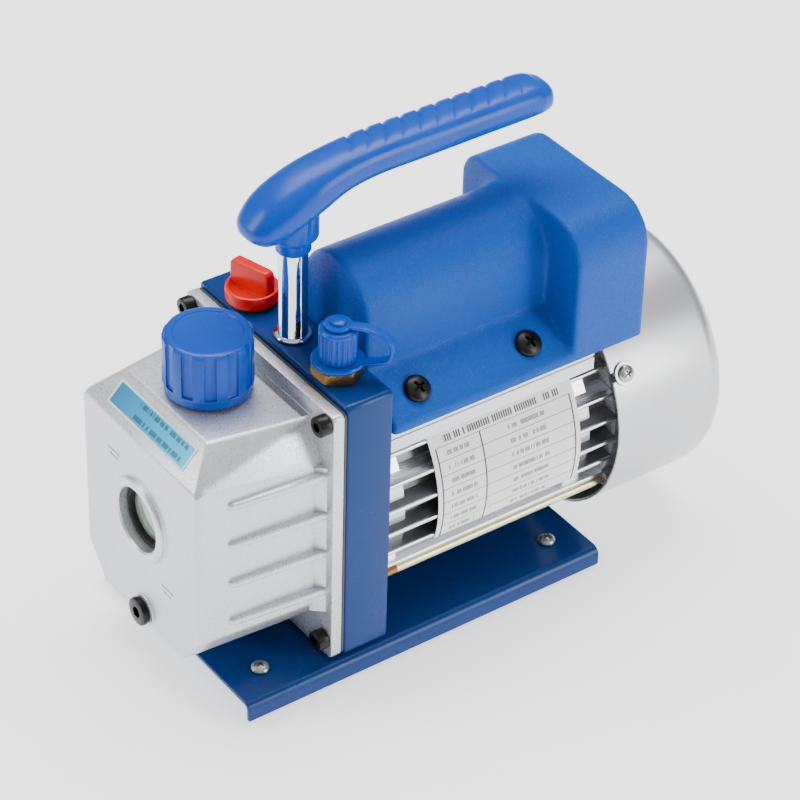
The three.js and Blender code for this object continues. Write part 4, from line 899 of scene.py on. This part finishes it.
def inletFitting(spot):
    size = dict(flats=19, corner=10.95, low=141.1, high=146.5, root=4.9, crest=5.5, pitch=1.3, turns=9, bore=2.4)
    low, high, corner = size['low'], size['high'], size['corner']
    chamfer = turned([(0, low - 0.1), (9.9, low - 0.1), (corner, low + 0.8), (corner, high - 0.9), (9.7, high + 0.1),
                      (0, high + 0.1)], centre=spot, steps=72)
    nut = combine(slab(hexagon(size['flats'], *spot), 'z', low, high), [chamfer], 'INTERSECT')
    root, crest, bore, pitch = size['root'], size['crest'], size['bore'], size['pitch']
    thread = [(0, 130), (5.8, 130), (5.8, low + 0.2), (7.4, low + 0.2), (7.4, high + 0.2), (crest, high + 0.4)]
    for k in range(size['turns']):
        thread += [(crest, high + 1.1 + pitch * k), (root, high + 1.7 + pitch * k)]
    thread += [(root, 160), (bore, 160), (bore, 150), (0, 150)]
    piece('inletNut', together(nut, turned(thread, centre=spot, steps=56)), 'brass', stands=['inlet_fitting'],
          smooth=25)


def dustCap(spot, height):
    size = dict(radius=8, waist=7.3, ribDepth=0.55, ribs=22, seat=149.1, bore=5.9, boreTop=161.4, buttonHeight=3.6)
    radius, waist, seat, bore = size['radius'], size['waist'], size['seat'], size['bore']
    top = height - size['buttonHeight']
    shell = ribbed(radius, size['ribDepth'], size['ribs'], seat + 0.8, top - 2.2, spot)
    crown = turned([(0, seat), (radius - 0.4, seat), (radius, seat + 0.3), (radius, seat + 1), (waist, seat + 1.2),
                    (waist, top - 2.4), (radius, top - 2.1), (radius, top - 1), (waist, top - 0.2), (6.4, top),
                    (2.8, top), (2.6, top + 0.4), (2.6, top + 1.7), (3.2, top + 1.9), (3.4, top + 2.4),
                    (3.2, top + 3), (2.2, top + 3.5), (0, top + 3.6)], centre=spot, steps=88)
    hollow = turned([(0, 147), (bore, 147), (bore, size['boreTop']), (0, size['boreTop'])], centre=spot, steps=48)
    piece('inletCap', cutBy(joined(shell, crown), hollow), 'bluePlastic', 'inlet_cap', ['inlet_cap'],
          smooth=30)


def strapBand(path, halfWide, halfThick, steps):
    # sweeps a rounded strip along (reach, height) points
    last = len(path) - 1
    rings = []
    for i in range(steps + 1):
        reach, z = between(path, last * i / steps)
        ahead = between(path, min(last, last * (i + 0.5) / steps))
        behind = between(path, max(0, last * (i - 0.5) / steps))
        along = Vector((ahead[0] - behind[0], ahead[1] - behind[1])).normalized()
        rings.append([(reach + along.y * thick, width, z - along.x * thick)
                      for width, thick in roundedBox(-halfWide, halfWide, -halfThick, halfThick, 0.45, 3)])
    return loft(rings)


def strap(spot):
    size = dict(turn=42, halfWide=2.5, halfThick=0.7, steps=90, reach=22.4, topBore=3.05, top=5.8, baseBore=5.8,
                base=11)
    at = span('inlet_cap_strap')
    low, high = at.z0, at.z1
    middle, reach = (low + high) / 2, size['reach']
    path = [(4.4, high - 0.7), (8, high - 0.6), (12.5, high - 0.9), (18, high - 3), (reach - 0.4, middle + 3.5),
            (reach, middle - 1), (21, middle - 5), (17.5, low + 3.2), (13.5, low + 2), (9.4, low + 1.2)]
    band = strapBand(path, size['halfWide'], size['halfThick'], size['steps'])
    bore, rim = size['topBore'], size['top']
    topRing = turned([(bore, high - 1.4), (rim - 0.3, high - 1.4), (rim, high - 1.1), (rim, high - 0.3),
                      (rim - 0.3, high), (bore, high)], steps=48)
    bore, rim = size['baseBore'], size['base']
    baseRing = turned([(bore, low), (rim - 0.4, low), (rim, low + 0.4), (rim, low + 1.6), (rim - 0.4, low + 2),
                       (bore, low + 2)], steps=64)
    form = moved(moved(joined(band, topRing, baseRing), turn=size['turn']), (*spot, 0))
    # the strap is baked where it stands and not attached to any body
    bend = ('root', 'inlet_cap_strap', (0, 0, (low + 2) * mm), (0, 0, (high - 1.4) * mm))
    piece('strap', form, 'bluePlastic', stands=['inlet_cap_strap'], smooth=45, bend=bend)


def inletParts():
    at = span('inlet_cap')
    spot = (at.x, at.y)
    inletFitting(spot)
    dustCap(spot, at.z1)
    strap(spot)


def exhaustParts():
    size = dict(neck=6.9, rim=11.5, seat=142.4, dishHeight=4.1, wingHalf=10.2, wingThick=2.5, wingCorner=2.6, turn=16)
    at = span('exhaust_cap')
    spot = (at.x, at.y)
    neck, rim, seat, floor = size['neck'], size['rim'], size['seat'], size['seat'] + size['dishHeight']
    dish = turned([(0, at.z0), (neck, at.z0), (neck, seat), (rim - 0.8, seat), (rim - 0.1, seat + 0.5),
                   (rim, seat + 1.2), (rim, seat + 4.9), (rim - 0.3, seat + 5.7), (rim - 1, seat + 6),
                   (rim - 1.6, seat + 5.8), (rim - 2.2, seat + 4.6), (rim - 3.1, floor), (0, floor)],
                  centre=spot, steps=80)
    half, corner = size['wingHalf'], size['wingCorner']
    outline = ([(-half, seat + 2), (half, seat + 2)] + arc(half - corner, at.z1 - corner, corner, 0, 90, 6)
               + arc(corner - half, at.z1 - corner, corner, 90, 180, 6))
    wing = soften(slab(outline, 'y', -size['wingThick'], size['wingThick']), 0.8, 3, 50)
    wing = moved(moved(wing, turn=size['turn']), (*spot, 0))
    piece('exhaustCap', joined(dish, wing), 'redPlastic', 'exhaust_cap', ['exhaust_cap'], smooth=35,
          edge=0.25)


bracket()
post()
grip()
inletParts()
exhaustParts()
print("bracket, grip and fittings made")

centreZ = 67.6
coverAt = span('fan_cover')
housingAt = span('motor_housing')


def motorFrame():
    size = dict(inner=40.8, body=45.5, end=48.6, frontEnd=11.4, rearEnd=8.6, fins=6, finLow=-25.2, finPitch=11.06,
                finTip=53.55, finRoot=38, railHalf=50.5, railBack=106.8)
    y0, y1 = housingAt.y0, housingAt.y1
    frontEdge, rearEdge = y0 + size['frontEnd'], y0 + 109.5 - size['rearEnd']
    inner, body, end = size['inner'], size['body'], size['end']
    core = turned([(inner, y0), (end - 0.4, y0), (end, y0 + 0.4), (end, frontEdge), (end - 0.4, frontEdge + 0.4),
                   (body, frontEdge + 0.8), (body, rearEdge - 0.8), (end - 0.4, rearEdge - 0.4), (end, rearEdge),
                   (end, y0 + 109.1), (end - 0.4, y0 + 109.5), (body, y0 + 109.9), (body, y1), (inner, y1)],
                  'y', (0, centreZ), 128)
    parts = []
    for k in range(size['fins']):
        drop = size['finLow'] + size['finPitch'] * k
        tip, z = math.sqrt(size['finTip'] ** 2 - drop ** 2), centreZ + drop
        outline = ((size['finRoot'], z - 3), (tip - 1, z - 1.05), (tip - 0.3, z - 0.75), (tip, z - 0.2), (tip, z + 0.2),
                   (tip - 0.3, z + 0.75), (tip - 1, z + 1.05), (size['finRoot'], z + 3))
        parts += [slab([(side * x, height) for x, height in outline], 'y', y0, y1) for side in (-1, 1)]
    out = size['railHalf']
    outline = ((30, 105.5), (out - 0.6, 105.5), (out, 106.1), (out, 112), (out - 0.6, 112.4), (out - 0.6, 113),
               (out, 113.4), (out, 118.6), (out - 0.5, 119.2), (34, 130.6), (30, 130.6))
    parts += [slab([(side * x, height) for x, height in outline], 'y', y0, y0 + size['railBack']) for side in (-1, 1)]
    frame = piece('motorFrame', together(core, *parts), 'brightAluminium', stands=['motor_housing'],
                  smooth=30)
    # a second, darker metal finish: painted shade for the valleys between the fins
    frame.data.materials.append(finishes['darkIron'].material)
    for polygon in frame.data.polygons:
        middle = polygon.center / mm
        if math.hypot(middle.x, middle.z - centreZ) < body + 0.9:
            polygon.material_index = 1  # painted shade: the valleys between the fins get a darker metal to stand in for the shade there


def tieRods():
    size = dict(rod=2.1, nut=3.6, nutLength=3.4)
    radius, nut = size['rod'], size['nut']
    for i in range(1, 5):
        at = span(f'tie_rod_{i}')
        seat = at.y1 - size['nutLength']
        rod = turned([(0, at.y0), (radius - 0.4, at.y0), (radius, at.y0 + 0.5), (radius, seat), (nut, seat),
                      (nut, at.y1 - 0.4), (nut - 0.4, at.y1), (0, at.y1)], 'y', (at.x, at.z), 28)
        piece(f'tieRod{i}', rod, 'threadedRod', stands=[f'tie_rod_{i}'])


coverSize = dict(radius=59.5, wall=1.2, corner=10, vents=10, ventInner=16, ventOuter=42, ventHalf=1.7,
                 screwAngles=(30, 150), slotPlace=4.7, screwPlace=6.7, screw=3.8, washer=5.4)


def coverShell(y0, y1):
    radius, wall, corner = coverSize['radius'], coverSize['wall'], coverSize['corner']
    middle = radius - corner
    outer = [(middle + corner * math.cos(math.radians(a)), y1 - corner + corner * math.sin(math.radians(a)))
             for a in range(0, 91, 9)]
    inner = [(middle + (corner - wall) * math.cos(math.radians(a)),
              y1 - corner + (corner - wall) * math.sin(math.radians(a))) for a in range(90, -1, -9)]
    profile = ([(radius - wall, y0 + 0.3), (radius - 0.9, y0), (radius - 0.3, y0), (radius, y0 + 0.3),
                (radius, y0 + 20)] + outer + [(15, y1), (0, y1), (0, y1 - wall), (15, y1 - wall)] + inner)
    shell = bmesh.new()
    verts = [shell.verts.new((r, y, centreZ)) for r, y in profile]
    edges = [shell.edges.new(pair) for pair in zip(verts, verts[1:] + verts[:1])
             if not (pair[0].co.x == 0 and pair[1].co.x == 0)]
    bmesh.ops.spin(shell, geom=verts + edges, axis=(0, 1, 0), cent=(0, 0, centreZ), angle=2 * math.pi, steps=144,
                   use_merge=True)
    return tidy(shell)


def outward(angle):
    return Vector((math.cos(math.radians(angle)), 0, math.sin(math.radians(angle))))


def fanCover():
    y0, y1 = coverAt.y0, coverAt.y1
    half = coverSize['ventHalf']
    tools = []
    for k in range(coverSize['vents']):
        vent = block(coverSize['ventInner'], coverSize['ventOuter'], y1 - 4, y1 + 1, centreZ - half, centreZ + half)
        vent = soften(vent, half - 0.1, 4, 60, lambda co: abs(co.y - (y1 - 1.5)) < 0.1)
        tools.append(moved(vent, turn=360 / coverSize['vents'] * k, axis='y', centre=(0, 0, centreZ)))
    for angle in coverSize['screwAngles']:
        slot = soften(block(-2.2, 2.2, -8, 3, -6, 6), 2.1, 4, 60, lambda co: abs(co.z) < 0.1)
        place = Vector((0, y0 + coverSize['slotPlace'], centreZ)) + outward(angle) * 57
        tools.append(aimed(slot, place, outward(angle)))
    piece('fanCover', cutBy(coverShell(y0, y1), *tools), 'silverPaint', stands=['fan_cover'],
          smooth=30)
    rim = coverSize['washer']
    for i, angle in enumerate(coverSize['screwAngles'], 1):
        washer = turned([(2.2, 0), (rim - 0.2, 0), (rim, 0.2), (rim, 0.6), (rim - 0.2, 0.8), (2.2, 0.8)], steps=40)
        screw = together(moved(crossHead(coverSize['screw'], 2.3, 8), (0, 0, 0.8)), washer)
        place = Vector((0, y0 + coverSize['screwPlace'], centreZ)) + outward(angle) * (coverSize['radius'] + 0.2)
        piece(f'coverScrew{i}', aimed(screw, place, outward(angle)), 'zincSteel', stands=[f'fan_cover_screw_{i}'])


motorFrame()
tieRods()
fanCover()
print("motor made")

casingAt = span('top_casing')
casingSize = dict(half=54, slope=36.6, skirt=120.4, low=108, ridgeX=10, ridgeZ=156.8, ridge=23.2, boxDepth=37.3,
                  boxLeft=-28, boxRight=(36, 162, 18), boxLeftCorner=(-16, 168, 12), wall=2.5, grain=1.05,
                  socket=(31, 150, 27, 19.5), switch=(-3, 152, 13, 19), screwPlace=44.3, screw=6, screwHeight=3.3)
slope = math.radians(casingSize['slope'])


def skirtHeight(x):
    return casingSize['skirt'] + (casingSize['half'] - abs(x)) * math.tan(slope)


def casingForm(inset):
    # the ridge over the whole length, and the box at its rear, reaching below the skirt's edge
    y0, y1, half, low = casingAt.y0 + inset, casingAt.y1 - inset, casingSize['half'], casingSize['low']
    drop = inset / math.cos(slope)
    middle, radius = casingSize['ridgeX'], casingSize['ridge']
    right, left, edge = middle + radius - inset, middle - radius + inset, casingSize['skirt'] - drop
    ridge = ([(-half, low), (half, low), (half, edge), (right, skirtHeight(right) - drop)]
             + arc(middle, casingSize['ridgeZ'], radius - inset, 0, 180, 28)
             + [(left, skirtHeight(left) - drop), (-half, edge)])
    box = [(casingSize['boxLeft'] + inset, low), (half - inset, low)]
    for (x, z, corner), start, steps in ((casingSize['boxRight'], 0, 12), (casingSize['boxLeftCorner'], 90, 10)):
        box += arc(x, z, corner - inset, start, start + 90, steps)
    return joined(slab(ridge, 'y', y0, y1), slab(box, 'y', casingAt.y1 - casingSize['boxDepth'] + inset, y1))


def sortBy(items, key):
    ranks = {item: rank for rank, item in enumerate(sorted(items, key=key))}
    items.sort(key=lambda item: ranks[item])
    items.index_update()


def settled(bm):
    # the remesh works in threads: rounding and sorting give the cuts the same mesh each run
    for vert in bm.verts:
        vert.co = [round(value, 3) for value in vert.co]
    sortBy(bm.verts, lambda vert: tuple(vert.co))
    sortBy(bm.faces, lambda face: sorted(vert.index for vert in face.verts))
    return bm


def casing():
    made = looseObject(casingForm(0))
    remesh = made.modifiers.new('remesh', 'REMESH')
    remesh.mode = 'VOXEL'
    remesh.voxel_size = casingSize['grain']
    relax = made.modifiers.new('relax', 'SMOOTH')
    relax.factor = 0.5
    relax.iterations = 16
    body = settled(evaluated(made))
    bmesh.ops.recalc_face_normals(body, faces=body.faces)
    low = casingSize['skirt'] - 3.1
    # what lies below the skirt's edge and inside the rails
    under = [(-60, 100), (60, 100), (60, low), (51.5, low), (51.5, low + 1.85), (39.6, 128.3), (-39.6, 128.3),
             (-51.5, low + 1.85), (-51.5, low), (-60, low)]
    tools = [casingForm(casingSize['wall']), slab(under, 'y', -60, 100)]
    for x, z, wide, high in (casingSize['socket'], casingSize['switch']):
        across, up = wide / 2 + 0.3, high / 2 + 0.3
        tools.append(block(x - across, x + across, casingAt.y1 - 4, casingAt.y1 + 1, z - up, z + up))
    piece('casing', cutBy(body, *tools), 'grainedPlastic', stands=['top_casing'], smooth=40)
    for i in range(1, 5):
        at = span(f'casing_screw_{i}')
        side, out = math.copysign(1, at.x), casingSize['screwPlace']
        screw = crossHead(casingSize['screw'], casingSize['screwHeight'], 5, 56)
        screw = aimed(screw, (side * out, at.y, skirtHeight(out) + 0.1), (side * math.sin(slope), 0, math.cos(slope)))
        piece(f'casingScrew{i}', screw, 'blackOxide', stands=[f'casing_screw_{i}'])


casing()
print("casing made")


def paper(place, columns, rows, thickness):
    # a thin closed sheet: place gives a point for u and v from 0 to 1 and a lift off the surface
    bm = bmesh.new()
    layer = bm.loops.layers.uv.new('sheet')
    bmesh.ops.create_grid(bm, x_segments=columns, y_segments=rows, size=0.5)
    bmesh.ops.translate(bm, vec=(0.5, 0.5, 0), verts=bm.verts)
    for face in bm.faces:
        for loop in face.loops:
            loop[layer].uv = loop.vert.co.xy
    made = bmesh.ops.extrude_face_region(bm, geom=bm.faces[:])
    lifted = [item for item in made['geom'] if isinstance(item, bmesh.types.BMVert)]
    bmesh.ops.translate(bm, vec=(0, 0, thickness), verts=lifted)
    for vert in bm.verts:
        vert.co = place(*vert.co)
    return tidy(bm)


def ratingPlate():
    size = dict(start=24.8, length=75, radius=53.8, lowest=-17, sweep=53.5, thickness=0.2)

    def place(u, v, lift):
        angle = math.radians(size['lowest'] + size['sweep'] * v)
        out = size['radius'] + lift
        return out * math.cos(angle), housingAt.y0 + size['start'] + size['length'] * u, centreZ + out * math.sin(angle)

    piece('ratingPlate', paper(place, 6, 24, size['thickness']), 'ratingPaper')


def greeked(finish, u, v, rows, density, seed):
    # short dark strokes in rows, read as print from afar and as nothing close to
    column = finish.node('ShaderNodeMath', {'operation': 'FLOOR'}, {0: u * density})
    row = finish.node('ShaderNodeMath', {'operation': 'FLOOR'}, {0: v * rows})
    cell = finish.node('ShaderNodeCombineXYZ', None, {0: column, 1: row, 2: seed})
    chance = finish.node('ShaderNodeTexWhiteNoise', {'noise_dimensions': '3D'}, {'Vector': cell})
    return (chance > 0.24) * ((u * density).fraction() < 0.66)


def inBand(value, low, high):
    return (value > low) * (value < high)


def ratingPaper():
    finish = Finish('ratingPaper', 'UV')
    u, v = finish.axis('X'), finish.axis('Y')
    rows = 8
    place = (v * rows).fraction()
    lines = ((place < 0.045) + inBand(u, 0.33, 0.34)) * inBand(u, 0.03, 0.97) * (v < 0.88)
    frameLines = inBand(u, 0.03, 0.04) + inBand(u, 0.96, 0.97)
    left = inBand(u, 0.09, 0.27)
    right = inBand(u, 0.52, 0.78)
    title = inBand(v, 0.905, 0.965) * inBand(u, 0.1, 0.9)
    words = greeked(finish, u, v, rows, 118, 1) * (left + right) * inBand(place, 0.34, 0.66) * (v < 0.87)
    heading = greeked(finish, u, v, rows, 64, 7) * title
    ink = finish.node('ShaderNodeClamp', None, {0: lines + frameLines * (v < 0.88) + words + heading})
    tint = finish.mix(finish.noise(3, 2), rgba(236, 236, 234), rgba(246, 246, 245))
    finish.set(Base_Color=finish.mix(ink, tint, rgba(54, 54, 58)))
    finish.set(Roughness=0.4 + ink * 0.2)
    finish.bump(finish.noise(40, 2), 0.05, 0.1)
    return finish


def noticePaper():
    finish = Finish('noticePaper', 'UV')
    u, v = finish.axis('X'), finish.axis('Y')
    edge = 1 - inBand(u, 0.02, 0.98) * inBand(v, 0.08, 0.92)
    base = finish.node('ShaderNodeValToRGB', {'stops': [(0, (0.0, 0.16, 0.38)), (0.55, (0.0, 0.42, 0.70)),
                                                        (1, (0.01, 0.60, 0.90))]}, {0: u})
    bars = greeked(finish, u, v, 2, 84, 3) * inBand(u, 0.3, 0.92) * inBand((v * 2).fraction(), 0.34, 0.72)
    base = finish.mix(bars, base, rgba(14, 30, 60))
    finish.set(Base_Color=finish.mix(edge, base, rgba(214, 232, 238)))
    finish.set(Roughness=0.24 + finish.noise(20, 2) * 0.1)
    return finish.bump(finish.noise(30, 2), 0.05, 0.1)


finishes['ratingPaper'] = ratingPaper()
finishes['noticePaper'] = noticePaper()


def notice():
    # lies on the case's sloped front shoulder
    size = dict(wide=57, high=11.2, x=0.5, y=6.75, z=123.75, stand=0.12, thickness=0.15)
    normal = Vector((0, -1, 1)).normalized()
    up = Vector((0, 1, 1)).normalized()
    middle = Vector((size['x'], front + size['y'], size['z']))

    def place(u, v, lift):
        return (middle + Vector((size['wide'] * (u - 0.5), 0, 0)) + up * size['high'] * (v - 0.5)
                + normal * (size['stand'] + lift))

    piece('notice', paper(place, 8, 2, size['thickness']), 'noticePaper')


ratingPlate()
notice()
print("papers made")

cadLooks = {
    'bluePaint': ['base_plate', 'pump_bracket'],
    'rubber': ['rubber_foot_', 'sight_glass_seal', 'drain_plug_seal', 'oil_cap_seal', 'exhaust_cap_seal',
               'shaft_seal'],
    'zincSteel': ['foot_screw_', 'fan_cover_screw_', 'pump_stator', 'pump_end_cover', 'pump_rotor',
                  'drive_shaft', 'bearing_'],
    'castSilver': ['oil_case', 'rear_end_bell'],
    'sealing': ['oil_case_gasket', 'vane_'],
    'blackOxide': ['oil_case_screw_', 'drain_plug', 'casing_screw_'],
    'sightGlass': ['sight_glass'],
    'bluePlastic': ['oil_cap', 'handle_grip', 'inlet_cap', 'inlet_cap_strap'],
    'grainedPlastic': ['top_casing'],
    'chrome': ['handle_post'],
    'brass': ['inlet_fitting'],
    'redPlastic': ['exhaust_cap', 'switch_rocker'],
    'brightAluminium': ['motor_housing', 'motor_rotor', 'capacitor'],
    'darkIron': ['stator_core'],
    'copperWire': ['motor_winding'],
    'threadedRod': ['tie_rod_'],
    'blackPlastic': ['cooling_fan', 'power_inlet', 'switch_body'],
    'silverPaint': ['fan_cover'],
}


def paintCadNodes():
    for finish, names in cadLooks.items():
        for node, made in cadNodes.items():
            if node in names or any(name.endswith('_') and node.startswith(name) for name in names):
                made.data.materials.clear()
                made.data.materials.append(finishes[finish].material)


paintCadNodes()
print("CAD nodes painted")
